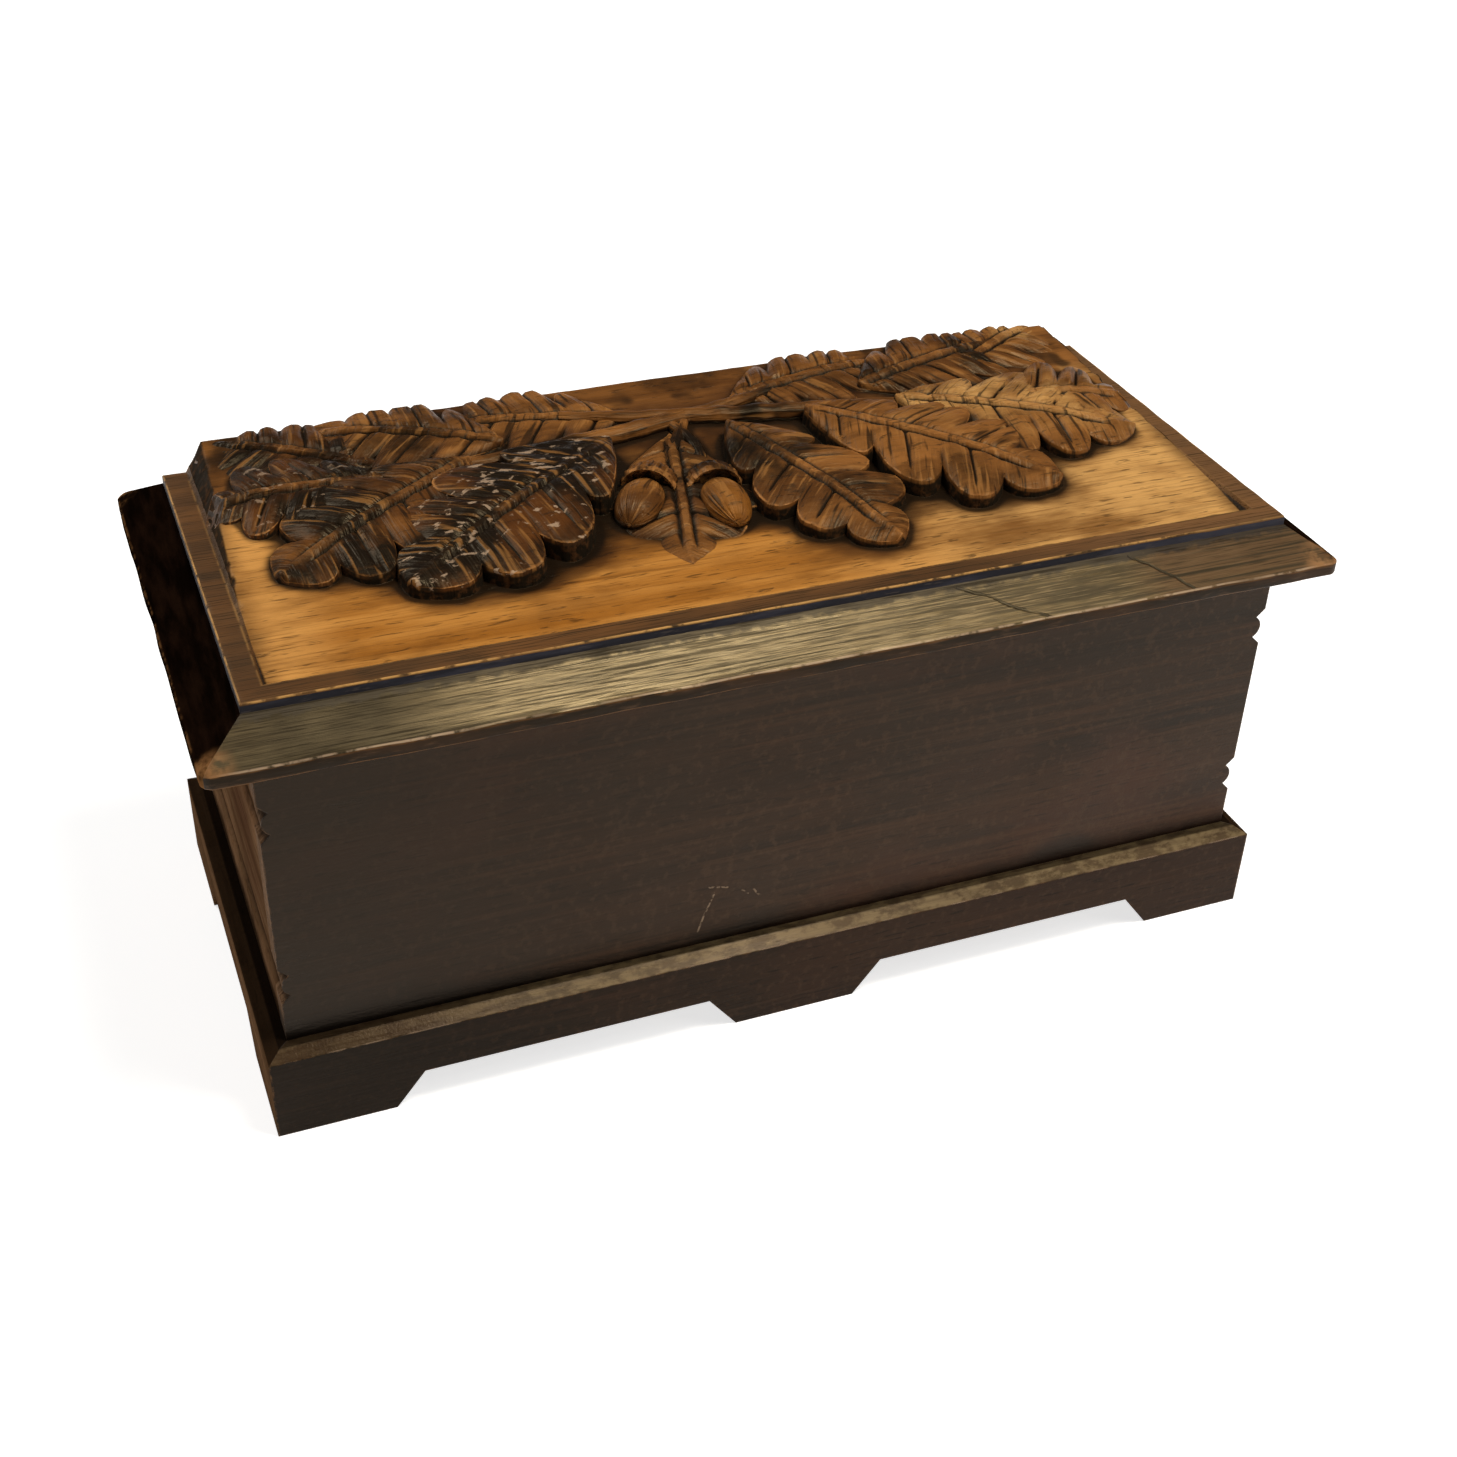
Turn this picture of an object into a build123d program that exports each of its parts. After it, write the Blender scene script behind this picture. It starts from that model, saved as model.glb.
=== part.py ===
"""Carved wooden box with a hinged lid that overhangs it all round, in millimetres.

X runs along the box, Y across it and Z up. The origin is the middle of the footprint, on the
surface that the feet stand on. The hinges are on the -Y side and the lid opens from +Y.
"""
import os
from math import atan2, cos, degrees, pi, sin

from build123d import *

# Lid board
lid_length = 300.0
lid_width = 140.0
lid_edge = 3.5
bevel_run = 12.0
bevel_rise = 7.5
rim_step = 2.6
rim_width = 6.3

# Carved field inside the rim: its ground slopes up from the hinge side to the front
ground_depth_back = 2.5
ground_height_front = 8.0
carving_limit = 10.6
end_slope_run = 6.0

# Walls
overhang_end = 12.6
overhang_side = 11.4
wall_thickness = 8.0
wall_above_ledge = 88.0

# Paired grooves across each end, with a rounded bead between the two
groove_depth = 2.4
groove_spread = 5.5
groove_spacing = 3.15
bead_drop = 0.6
groove_below_lid = 20.4
groove_above_ledge = 17.6

# Plinth rails, applied round the walls, and their feet
ledge = 2.3
plinth_bevel_run = 3.5
plinth_bevel_rise = 2.0
plinth_face = 24.5
cutout_height = 10.4
foot_length = 31.0
foot_slope = 8.0
centre_foot = 35.0
wall_lift = 2.0

# Bottom board, held in a groove in the walls
floor_thickness = 5.0
floor_lip = 4.0
floor_tongue = 3.0
floor_play = 0.2

# Glue blocks behind the feet
corner_block_leg = 20.0
centre_block_length = 28.0
centre_block_width = 12.0
block_lift = 0.5

# Butt hinges, let into the back wall and the lid
hinge_length = 38.0
hinge_from_end = 30.0
leaf_thickness = 1.2
wood_behind_leaf = 1.5
pin_radius = 1.0
knuckle_wall = 1.0
knuckle_to_wall = 0.5
knuckle_count = 5
knuckle_gap = 0.1
knuckle_play = 0.3
pin_play = 0.05
mortise_play = 0.1

# Countersunk screws
screws_per_leaf = 3
screw_margin = 6.0
screw_length = 9.0
screw_radius = 0.9
screw_head_radius = 1.9
screw_point = 2.0
slot_width = 0.5
slot_depth = 0.4
screw_play = 0.05

# Oak spray on the ground. Each leaf is x and y from the field's middle, heading, length, half width and rise
leaves = [
    (-84.0, 30.0, 150.0, 52.0, 17.0, 1.6),
    (84.0, 34.0, 30.0, 50.0, 17.0, 1.6),
    (-14.0, 36.0, 168.0, 56.0, 19.0, 1.8),
    (18.0, 38.0, 12.0, 56.0, 18.0, 1.8),
    (-50.0, 32.0, 158.0, 54.0, 19.0, 2.8),
    (56.0, 34.0, 16.0, 56.0, 19.0, 2.8),
    (-84.0, 20.0, 178.0, 48.0, 17.0, 4.0),
    (84.0, 16.0, 352.0, 48.0, 17.0, 4.0),
    (-6.0, 22.0, 256.0, 58.0, 19.0, 2.8),
    (-62.0, 22.0, 212.0, 68.0, 21.0, 5.0),
    (62.0, 22.0, 334.0, 68.0, 21.0, 4.8),
    (10.0, 20.0, 292.0, 66.0, 20.0, 5.8),
    (34.0, 22.0, 318.0, 74.0, 22.0, 6.2),
    (-24.0, 20.0, 216.0, 82.0, 24.0, 7.0),
]
leaf_notches = (0.04, 0.26, 0.52, 0.76)
lobe_shares = (0.12, 0.5, 0.88)
lobe_fullness = (0.81, 1.0, 0.81)
notch_fullness = 0.54
lobe_skew = 0.42
tip_shares = (0.86, 0.95)
tip_fullness = (0.93, 1.0)
stalk_half_width = 1.5
leaf_camber = 1.7
crown_share = 0.55
tip_drop = 2.4
tip_drop_from = 0.6
rib_half_width = 0.8
rib_rise = 0.4
rib_groove_at = 1.8
rib_groove_depth = 0.9
rib_groove_edge = 3.2
form_sink = 0.6

# Acorns as (x, y, heading), hanging from the crossing of the stems
acorns = [
    (-19.0, 1.0, 236.0),
    (-3.0, -3.0, 268.0),
]
acorn_radius = 6.6
acorn_body = 14.5
cup_radius = 7.6
cup_length = 6.6
acorn_lift = 0.4

# Stems and the acorns' stalks as (start x, start y, middle x, middle y, end x, end y, radius)
stems = [
    (30.0, 38.0, -28.0, 26.0, -90.0, 22.0, 3.0),
    (-32.0, 40.0, 26.0, 27.0, 92.0, 20.0, 3.0),
    (1.0, 30.0, -6.0, 18.0, -15.5, 6.0, 2.2),
    (-4.0, 30.0, -1.0, 17.0, -2.8, 3.0, 2.2),
]
stem_lift = 0.8

# Levels and outlines that follow from the sizes above
body_length = lid_length - 2 * overhang_end
body_width = lid_width - 2 * overhang_side
inner_length = body_length - 2 * wall_thickness
inner_width = body_width - 2 * wall_thickness
rail_thickness = ledge + plinth_bevel_run
plinth_length = body_length + 2 * rail_thickness
plinth_width = body_width + 2 * rail_thickness
ledge_z = plinth_face + plinth_bevel_rise
wall_bottom_z = cutout_height + wall_lift
lid_z = ledge_z + wall_above_ledge
bevel_z = lid_z + lid_edge + bevel_rise
rim_z = bevel_z + rim_step
floor_z = wall_bottom_z + floor_lip
rim_length = lid_length - 2 * bevel_run
rim_depth = lid_width - 2 * bevel_run
field_length = rim_length - 2 * rim_width
field_back_y = rim_width - rim_depth / 2
field_front_y = rim_depth / 2
field_width = field_front_y - field_back_y
field_mid_y = (field_back_y + field_front_y) / 2
ground_mid_z = rim_z + (ground_height_front - ground_depth_back) / 2
ground_slope = degrees(atan2(ground_height_front + ground_depth_back, field_width))
knuckle_radius = pin_radius + knuckle_wall
pin_y = -body_width / 2 - knuckle_to_wall - knuckle_radius
leaf_reach = wall_thickness - wood_behind_leaf
leaf_inner_y = -body_width / 2 + leaf_reach
leaf_outer_y = pin_y + knuckle_radius + knuckle_play
screw_y = leaf_inner_y - leaf_reach / 2
hinge_xs = [side * (body_length / 2 - hinge_from_end - hinge_length / 2) for side in (-1, 1)]


def block(x0, x1, y0, y1, z0, z1):
    """A box between two corners."""
    middle = ((x0 + x1) / 2, (y0 + y1) / 2, (z0 + z1) / 2)
    return Pos(*middle) * Box(x1 - x0, y1 - y0, z1 - z0)


def prism_x(points, x0, x1):
    """An outline in Y and Z, drawn out along X."""
    face = make_face(Polyline(*[(x0, y, z) for y, z in points], close=True))
    return extrude(face, amount=x1 - x0, dir=(1, 0, 0))


def prism_y(points, y0, y1):
    """An outline in X and Z, drawn out along Y."""
    face = make_face(Polyline(*[(x, y0, z) for x, z in points], close=True))
    return extrude(face, amount=y1 - y0, dir=(0, 1, 0))


def rod_x(radius, x0, x1, y, z):
    """A round bar along X."""
    return Pos((x0 + x1) / 2, y, z) * Rot(0, 90, 0) * Cylinder(radius, x1 - x0)


# Walls

def end_groove(side, middle_z):
    """The pair of V grooves with a bead between, as the wood that is taken away."""
    face_x = side * body_length / 2
    bottom_x = face_x - side * groove_depth
    clear_x = face_x + side * groove_depth
    y0 = -body_width
    high, low = middle_z + groove_spread, middle_z - groove_spread
    upper = (bottom_x, y0, middle_z + groove_spacing)
    lower = (bottom_x, y0, middle_z - groove_spacing)
    crest = (face_x - side * bead_drop, y0, middle_z)
    outline = [
        Polyline(lower, (face_x, y0, low), (clear_x, y0, low), (clear_x, y0, high),
                 (face_x, y0, high), upper),
        ThreePointArc(upper, crest, lower),
    ]
    return extrude(make_face(outline), amount=2 * body_width, dir=(0, 1, 0))


def cut_end_grooves(panel):
    """Takes both pairs of grooves out of a panel, at both ends of the box."""
    for side in (-1, 1):
        for middle_z in (lid_z - groove_below_lid, ledge_z + groove_above_ledge):
            panel = panel - end_groove(side, middle_z)
    return panel


def floor_groove():
    """The groove that the bottom board's edges run in, as one flat box."""
    half_x = inner_length / 2 + floor_tongue
    half_y = inner_width / 2 + floor_tongue
    return block(-half_x, half_x, -half_y, half_y, floor_z, floor_z + floor_thickness)


def leaf_mortise(hinge_x, upward):
    """The pocket for one hinge leaf, cut up into the lid or down into the wall."""
    half = hinge_length / 2 + mortise_play
    z1 = lid_z + upward * leaf_thickness
    inner_y = leaf_inner_y + mortise_play
    return block(hinge_x - half, hinge_x + half, pin_y, inner_y, min(lid_z, z1), max(lid_z, z1))


def screw_places(hinge_x):
    """Where the screws of one leaf stand along X."""
    first = hinge_x - hinge_length / 2 + screw_margin
    step = (hinge_length - 2 * screw_margin) / (screws_per_leaf - 1)
    return [first + k * step for k in range(screws_per_leaf)]


def screw_form(x, upward, play):
    """A countersunk screw, or with play the hole that it goes in."""
    shank, head = screw_radius + play, screw_head_radius + play
    point = screw_length + play
    half_section = Polyline((0, 0), (head, 0), (shank, -leaf_thickness),
                            (shank, -point + screw_point), (0, -point), close=True)
    form = revolve(Plane.XZ * make_face(half_section), Axis.Z)
    turned = Rot(0, 0, 0) if upward < 0 else Rot(180, 0, 0)
    return Pos(x, screw_y, lid_z) * turned * form


def screw_holes(hinge_x, upward):
    """The holes of one leaf's screws."""
    return [screw_form(x, upward, screw_play) for x in screw_places(hinge_x)]


def long_panel(side):
    """The back or front wall, which runs the box's full length."""
    y0, y1 = sorted((side * inner_width / 2, side * body_width / 2))
    panel = block(-body_length / 2, body_length / 2, y0, y1, wall_bottom_z, lid_z)
    return cut_end_grooves(panel) - floor_groove()


def back_panel():
    """The wall that carries the hinges."""
    panel = long_panel(-1)
    for hinge_x in hinge_xs:
        panel = panel - leaf_mortise(hinge_x, -1)
        for hole in screw_holes(hinge_x, -1):
            panel = panel - hole
    return panel


def end_panel(side):
    """An end wall, held between the back and the front."""
    x0, x1 = sorted((side * inner_length / 2, side * body_length / 2))
    panel = block(x0, x1, -inner_width / 2, inner_width / 2, wall_bottom_z, lid_z)
    return cut_end_grooves(panel) - floor_groove()


def bottom_board():
    """The floor of the box, with its edges in the walls' grooves."""
    half_x = inner_length / 2 + floor_tongue - floor_play
    half_y = inner_width / 2 + floor_tongue - floor_play
    return block(-half_x, half_x, -half_y, half_y, floor_z, floor_z + floor_thickness)


# Plinth

def rail_blank(length):
    """A straight rail along X behind the line Y = 0, bevelled above and mitred at both ends."""
    outer = -rail_thickness
    section = [(0, 0), (outer, 0), (outer, plinth_face), (outer + plinth_bevel_run, ledge_z), (0, ledge_z)]
    blank = prism_x(section, -length / 2, length / 2)
    half = length / 2
    plan = Polyline((-half, outer), (half, outer), (half - rail_thickness, 0), (-half + rail_thickness, 0),
                    close=True)
    return blank & extrude(make_face(plan), amount=ledge_z)


def cut_between_feet(rail, x0, x1):
    """Cuts the gap between two feet, with sloping ends."""
    gap = [(x0, 0), (x1, 0), (x1 - foot_slope, cutout_height), (x0 + foot_slope, cutout_height)]
    return rail - prism_y(gap, -2 * rail_thickness, rail_thickness)


def long_rail(side):
    """The back or front rail, on two end feet and one in the middle."""
    rail = rail_blank(plinth_length)
    for end in (-1, 1):
        edges = sorted((end * (plinth_length / 2 - foot_length), end * centre_foot / 2))
        rail = cut_between_feet(rail, *edges)
    turn = 0 if side < 0 else 180
    return Pos(0, side * body_width / 2, 0) * Rot(0, 0, turn) * rail


def end_rail(side):
    """An end rail, on its two corner feet."""
    rail = rail_blank(plinth_width)
    edge = plinth_width / 2 - foot_length
    rail = cut_between_feet(rail, -edge, edge)
    turn = -90 if side < 0 else 90
    return Pos(side * body_length / 2, 0, 0) * Rot(0, 0, turn) * rail


def corner_block(x_side, y_side):
    """A three-cornered glue block in the angle of two rails, under the walls."""
    corner = (x_side * body_length / 2, y_side * body_width / 2)
    along = (corner[0] - x_side * corner_block_leg, corner[1])
    across = (corner[0], corner[1] - y_side * corner_block_leg)
    outline = make_face(Polyline(corner, along, across, close=True))
    return Pos(0, 0, block_lift) * extrude(outline, amount=wall_bottom_z - block_lift, dir=(0, 0, 1))


def centre_block(side):
    """A glue block behind the middle foot of a long rail."""
    y0, y1 = sorted((side * body_width / 2, side * (body_width / 2 - centre_block_width)))
    half = centre_block_length / 2
    return block(-half, half, y0, y1, block_lift, wall_bottom_z)


# Carved spray

def leaf_spread(share):
    """How wide the leaf's outline is at a share of its length, from 0 to 1."""
    return sin(pi * share ** 0.85) ** 0.8


def leaf_outline(length, half_width):
    """Corners of a lobed leaf along +X, round from one side of its stalk to the other."""

    def corner(share, fullness, side):
        width = max(stalk_half_width, fullness * half_width * leaf_spread(share))
        u = share * length + lobe_skew * width
        return (u, side * width)

    corners = []
    for start, end in zip(leaf_notches, leaf_notches[1:]):
        corners.append((start, notch_fullness))
        corners += [(start + share * (end - start), full) for share, full in zip(lobe_shares, lobe_fullness)]
    corners += [(leaf_notches[-1], notch_fullness), *zip(tip_shares, tip_fullness)]
    left = [corner(share, fullness, 1) for share, fullness in corners]
    right = [corner(share, fullness, -1) for share, fullness in corners]
    return left + [(length, 0)] + right[::-1]


def oak_leaf(length, half_width, rise):
    """A lobed leaf along +X with a raised middle rib between two grooves, sunk a little in the ground."""
    top = rise + rib_rise
    face = make_face(Polyline(*leaf_outline(length, half_width), close=True))
    blade = Pos(0, 0, -form_sink) * extrude(face, amount=top + form_sink, dir=(0, 0, 1))
    under = -top - 2 * leaf_camber
    half_section = [
        (2 * half_width, under),
        (2 * half_width, rise - 2 * leaf_camber),
        (half_width, rise - leaf_camber),
        (crown_share * half_width, rise),
        (rib_groove_edge, rise),
        (rib_groove_at, rise - rib_groove_depth),
        (rib_half_width, top),
    ]
    section = half_section + [(-v, z) for v, z in half_section[::-1]]
    fall = [(0, under), (0, top), (tip_drop_from * length, top), (length, top - tip_drop), (length, under)]
    return blade & prism_x(section, 0, length) & prism_y(fall, -2 * half_width, 2 * half_width)


def acorn():
    """An acorn along +X, its cup behind it, half sunk in what it lies on."""
    nut = Rot(0, 90, 0) * Cylinder(acorn_radius, acorn_body, align=(Align.CENTER, Align.CENTER, Align.MIN))
    nut = nut + Pos(acorn_body, 0, 0) * Sphere(acorn_radius)
    cup = Sphere(cup_radius) & block(-cup_length, cup_length / 4, *(2 * [-cup_radius, cup_radius]))
    return nut + cup


def stem(x0, y0, x1, y1, x2, y2, radius):
    """A bent stem half sunk in the ground."""
    path = ThreePointArc((x0, y0, stem_lift), (x1, y1, stem_lift), (x2, y2, stem_lift))
    return sweep(Plane(path @ 0, z_dir=path % 0) * Circle(radius), path=path)


def spray():
    """All the leaves, stems and acorns, on a level ground plane."""
    forms = [Pos(x, y, 0) * Rot(0, 0, heading) * oak_leaf(*sizes) for x, y, heading, *sizes in leaves]
    forms += [Pos(x, y, acorn_lift) * Rot(0, 0, heading) * acorn() for x, y, heading in acorns]
    forms += [stem(*route) for route in stems]
    return forms


def carved_field():
    """The sloping ground with the spray on it, trimmed to the field inside the rim."""
    half_x = field_length / 2
    ground = [
        (field_back_y, bevel_z),
        (field_front_y, bevel_z),
        (field_front_y, rim_z + ground_height_front),
        (field_back_y, rim_z - ground_depth_back),
    ]
    field = prism_x(ground, -half_x, half_x)
    place = Pos(0, field_mid_y, ground_mid_z) * Rot(ground_slope, 0, 0)
    for form in spray():
        field = field + place * form
    inner_x = half_x - end_slope_run
    limits = [(-half_x, bevel_z), (half_x, bevel_z), (half_x, rim_z), (inner_x, rim_z + carving_limit),
              (-inner_x, rim_z + carving_limit), (-half_x, rim_z)]
    return field & prism_y(limits, field_back_y, field_front_y)


# Lid

def lid_board():
    """The lid, from one thick board: bevel, rim, carved field and the pockets for the hinges."""
    half_x, half_y = lid_length / 2, lid_width / 2
    slab = block(-half_x, half_x, -half_y, half_y, lid_z, lid_z + lid_edge)
    low = Pos(0, 0, lid_z + lid_edge) * Rectangle(lid_length, lid_width)
    high = Pos(0, 0, bevel_z) * Rectangle(rim_length, rim_depth)
    bevel = loft([low, high])
    rim = block(-rim_length / 2, rim_length / 2, -rim_depth / 2, rim_depth / 2, bevel_z, rim_z)
    recess = block(-field_length / 2, field_length / 2, field_back_y, field_front_y, bevel_z, rim_z)
    board = slab + bevel + (rim - recess) + carved_field()
    for hinge_x in hinge_xs:
        half = hinge_length / 2 + mortise_play
        pocket = rod_x(knuckle_radius + knuckle_play, hinge_x - half, hinge_x + half, pin_y, lid_z)
        board = board - leaf_mortise(hinge_x, 1) - pocket
        for hole in screw_holes(hinge_x, 1):
            board = board - hole
    return board


# Hinges

def hinge_leaf(hinge_x, upward):
    """One leaf with its share of the knuckles: the wall's leaf has the outer ones."""
    half = hinge_length / 2
    z0, z1 = sorted((lid_z, lid_z + upward * leaf_thickness))
    leaf = block(hinge_x - half, hinge_x + half, leaf_outer_y, leaf_inner_y, z0, z1)
    pitch = hinge_length / knuckle_count
    first = 1 if upward > 0 else 0
    for k in range(first, knuckle_count, 2):
        x0 = hinge_x - half + k * pitch + knuckle_gap / 2
        x1 = x0 + pitch - knuckle_gap
        leaf = leaf + rod_x(knuckle_radius, x0, x1, pin_y, lid_z)
        leaf = leaf + block(x0, x1, pin_y, leaf_outer_y, z0, z1)
    leaf = leaf - rod_x(pin_radius + pin_play, hinge_x - half, hinge_x + half, pin_y, lid_z)
    for hole in screw_holes(hinge_x, upward):
        leaf = leaf - hole
    return leaf


def hinge_pin(hinge_x):
    """The pin through all the knuckles of one hinge."""
    half = (hinge_length - knuckle_gap) / 2
    return rod_x(pin_radius, hinge_x - half, hinge_x + half, pin_y, lid_z)


def hinge_screws(upward):
    """All the screws in the wall or in the lid, each with its slot."""
    screws = []
    for hinge_x in hinge_xs:
        for x in screw_places(hinge_x):
            z0, z1 = sorted((lid_z, lid_z + upward * slot_depth))
            slot = block(x - screw_head_radius, x + screw_head_radius,
                         screw_y - slot_width / 2, screw_y + slot_width / 2, z0, z1)
            screws.append(screw_form(x, upward, 0) - slot)
    return Compound(children=screws)


nodes = {
    "lid_board": lid_board(),
    "back_panel": back_panel(),
    "front_panel": long_panel(1),
    "left_end_panel": end_panel(-1),
    "right_end_panel": end_panel(1),
    "bottom_board": bottom_board(),
    "back_plinth_rail": long_rail(-1),
    "front_plinth_rail": long_rail(1),
    "left_plinth_rail": end_rail(-1),
    "right_plinth_rail": end_rail(1),
    "back_centre_block": centre_block(-1),
    "front_centre_block": centre_block(1),
    "wall_hinge_screws": hinge_screws(-1),
    "lid_hinge_screws": hinge_screws(1),
}
for y_side, y_name in ((-1, "back"), (1, "front")):
    for x_side, x_name in ((-1, "left"), (1, "right")):
        nodes[f"{y_name}_{x_name}_corner_block"] = corner_block(x_side, y_side)
for hinge_x, x_name in zip(hinge_xs, ("left", "right")):
    nodes[f"{x_name}_hinge_wall_leaf"] = hinge_leaf(hinge_x, -1)
    nodes[f"{x_name}_hinge_lid_leaf"] = hinge_leaf(hinge_x, 1)
    nodes[f"{x_name}_hinge_pin"] = hinge_pin(hinge_x)

os.makedirs("parts", exist_ok=True)
for name, shape in nodes.items():
    export_step(shape, f"parts/{name}.step")
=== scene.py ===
"""Looks of the carved wooden box: its oak-leaf lid, its stained and worn wood, its hinges, and the studio."""
import math

import bmesh
import bpy
import numpy as np
from mathutils import Matrix, Vector


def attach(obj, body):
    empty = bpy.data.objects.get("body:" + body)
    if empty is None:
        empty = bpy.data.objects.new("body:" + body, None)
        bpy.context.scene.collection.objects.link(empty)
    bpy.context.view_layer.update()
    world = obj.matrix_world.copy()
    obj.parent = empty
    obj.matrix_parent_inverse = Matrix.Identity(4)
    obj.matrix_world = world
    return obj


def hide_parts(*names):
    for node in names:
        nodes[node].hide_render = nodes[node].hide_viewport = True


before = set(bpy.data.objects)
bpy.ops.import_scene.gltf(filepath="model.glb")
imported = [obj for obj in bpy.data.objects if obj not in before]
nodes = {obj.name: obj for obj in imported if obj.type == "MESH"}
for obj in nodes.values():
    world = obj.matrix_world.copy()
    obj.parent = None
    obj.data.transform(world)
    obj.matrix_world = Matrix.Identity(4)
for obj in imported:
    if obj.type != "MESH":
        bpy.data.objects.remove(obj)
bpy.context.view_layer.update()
scene = bpy.context.scene

# Sizes, in millimetres, as the lid is built
MM = 0.001
LID_X, LID_Y = 150, 70
LID_UNDER, EDGE_TOP, BEVEL_TOP, RIM_TOP = 114.5, 118, 125.5, 128.1
BEVEL, RIM_INNER = 12, 18.3
FIELD_X, FIELD_BACK, FIELD_FRONT = LID_X - RIM_INNER, RIM_INNER - LID_Y, LID_Y - BEVEL
FIELD_MID = (FIELD_BACK + FIELD_FRONT) / 2
GROUND_BACK, GROUND_FRONT, CARVING_LIMIT, FLANK = -2.5, 8, 10.3, 6
NOTHING = -9.0  # a height well under the ground, where a form isn't
CORNER_ROUND = 3
WALL_END, WALL_SIDE, WALL_THICK, GROOVE = 137.4, 58.6, 8, 2.4
PLINTH_FACE, PLINTH_TOP = 24.5, 26.5
EDGE_RINGS = [(117.2, 0, 0), (115, 0, 0), (114.65, 0.1, 0.5), (114.5, 0.3, 0.9)]  # level, inward, wear
FIELD_STEP, BORDER_STEP, UNDER_STEP, SHADE_STEP = 1, 1.1, 16, 0.8
BORDER, CARVED, UNDER, BORDER_END, STEP, EDGE = range(6)  # the lid's material slots

# the mortises and knuckle pockets for the hinges, under the lid
HINGE_X, HINGE_HALF = 88.4, 19.1
PIN_Y, MORTISE_END, MORTISE_DEPTH, POCKET_RADIUS = -61.1, -52, 1.2, 2.3

# leaves of the carving: x, y from the field's middle, heading, length, half width, rise, tone
LEAVES = [
    (-84, 30, 150, 52, 17, 1.6, 0.20),
    (84, 34, 30, 50, 17, 1.6, 0.60),
    (-14, 36, 168, 56, 19, 1.8, 0.50),
    (18, 38, 12, 56, 18, 1.8, 0.60),
    (-50, 32, 158, 54, 19, 2.8, 0.45),
    (56, 34, 16, 56, 19, 2.8, 0.35),
    (-84, 20, 178, 48, 17, 4.0, 0.10),
    (84, 16, 352, 48, 17, 4.0, 0.62),
    (-6, 22, 256, 58, 19, 2.8, 0.48),
    (-62, 22, 212, 68, 21, 5.0, 0.25),
    (62, 22, 334, 68, 21, 4.8, 0.68),
    (10, 20, 292, 66, 20, 5.8, 0.35),
    (34, 22, 318, 74, 22, 6.2, 0.45),
    (-24, 20, 216, 82, 24, 7.0, 0.05),
]
NOTCHES = (0, 0.26, 0.52, 0.76)
TIP_LOBE_END, LEAF_END = 1.2, 0.985
SKEW, SINUS, CAMBER, TIP_DROP, STALK = 0.42, 0.46, 1.7, 2.4, 1.3
RIB_LINES, RIB_HEIGHTS = (0, 0.8, 1.8, 3.2), (0.45, 0.35, -0.9, 0)  # from the leaf's middle outward
RIB_FULL = 6  # the leaf's half width under which its rib is narrower
VEIN_HALF, VEIN_DEPTH, FACET_RISE = 1.0, 0.85, 0.75
BEFORE_VEIN, AFTER_VEIN = (0, 0.025, 0.06, 0.11, 0.18, 0.27, 0.37), (0.63, 0.73, 0.82, 0.89, 0.94, 0.975)
RIB_TO_EDGE = np.array([0.1, 0.22, 0.36, 0.52, 0.68, 0.82, 0.93, 1])
WALL_RINGS = [(0.12, 0.22, 0), (0.25, 1.6, 1), (0.5, 0, 1)]  # outward, down (0: to the ground), dark stain and painted shade on the cut side
ACORNS = [(-19, 1, 236), (-3, -3, 268)]  # x, y, heading
ACORN_LIFT, ACORN_MIDDLE, ACORN_TURNS = 0.6, 5, 48
NUT_AT, NUT_LENGTH, NUT_WIDTH, NUT_HEIGHT, NUT_POINT = 10.2, 10.6, 6.6, 6.2, 0.9
CUP_LENGTH, CUP_RIM, CUP_WIDTH, CUP_HEIGHT = 7, 2.5, 7.9, 7.2
CUP_ROLL = [(1.2, 1), (CUP_RIM, 0.94), (CUP_RIM - 0.2, 0.86), (1, 0.8)]  # along, share of the cup's width
CUP_KNOBS, KNOB_RISE = 12, 0.05
STEMS = [  # x and y at its start, middle and end, radius
    (30, 38, -28, 26, -90, 22, 3.2),
    (-32, 40, 26, 27, 92, 20, 3.2),
    (1, 30, -6, 18, -15.5, 6, 2.4),
    (-4, 30, -1, 17, -2.8, 3, 2.4),
]
STEM_TAPER, STEM_LIFT = 0.4, 0.6
SEED = 4


# The carving's height
def smooth(low, high, x):
    t = np.clip((x - low) / (high - low), 0, 1)
    return t * t * (3 - 2 * t)


def tent(x, middle, reach):
    return np.clip(1 - np.abs(x - middle) / reach, 0, 1)


def waves(x, y, length, seed, count=20):
    """Smooth noise of about unit height."""
    rng = np.random.default_rng(seed)
    total = np.zeros(np.shape(x))
    for _ in range(count):
        turn, phase = rng.uniform(0, 2 * np.pi, 2)
        reach = 2 * np.pi / (length * rng.uniform(0.6, 1.7))
        total += np.cos(reach * (x * np.cos(turn) + y * np.sin(turn)) + phase)
    return total / math.sqrt(count / 2)


def box_blur(values, radius, times=3):
    """A soft blur by repeated running means along both ways of the grid."""
    width = 2 * radius + 1
    for _ in range(times):
        for axis in (0, 1):
            pad = [(radius + 1, radius) if a == axis else (0, 0) for a in (0, 1)]
            total = np.cumsum(np.pad(values, pad, mode="edge"), axis=axis)
            take = np.arange(values.shape[axis])
            values = (np.take(total, take + width, axis) - np.take(total, take, axis)) / width
    return values


def cos_sin(heading):
    return math.cos(math.radians(heading)), math.sin(math.radians(heading))


def turned(x, y, x0, y0, heading):
    """Distance along and across a heading, from a point given from the field's middle."""
    c, s = cos_sin(heading)
    dx, dy = x - x0, y - FIELD_MID - y0
    return dx * c + dy * s, dy * c - dx * s


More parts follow.
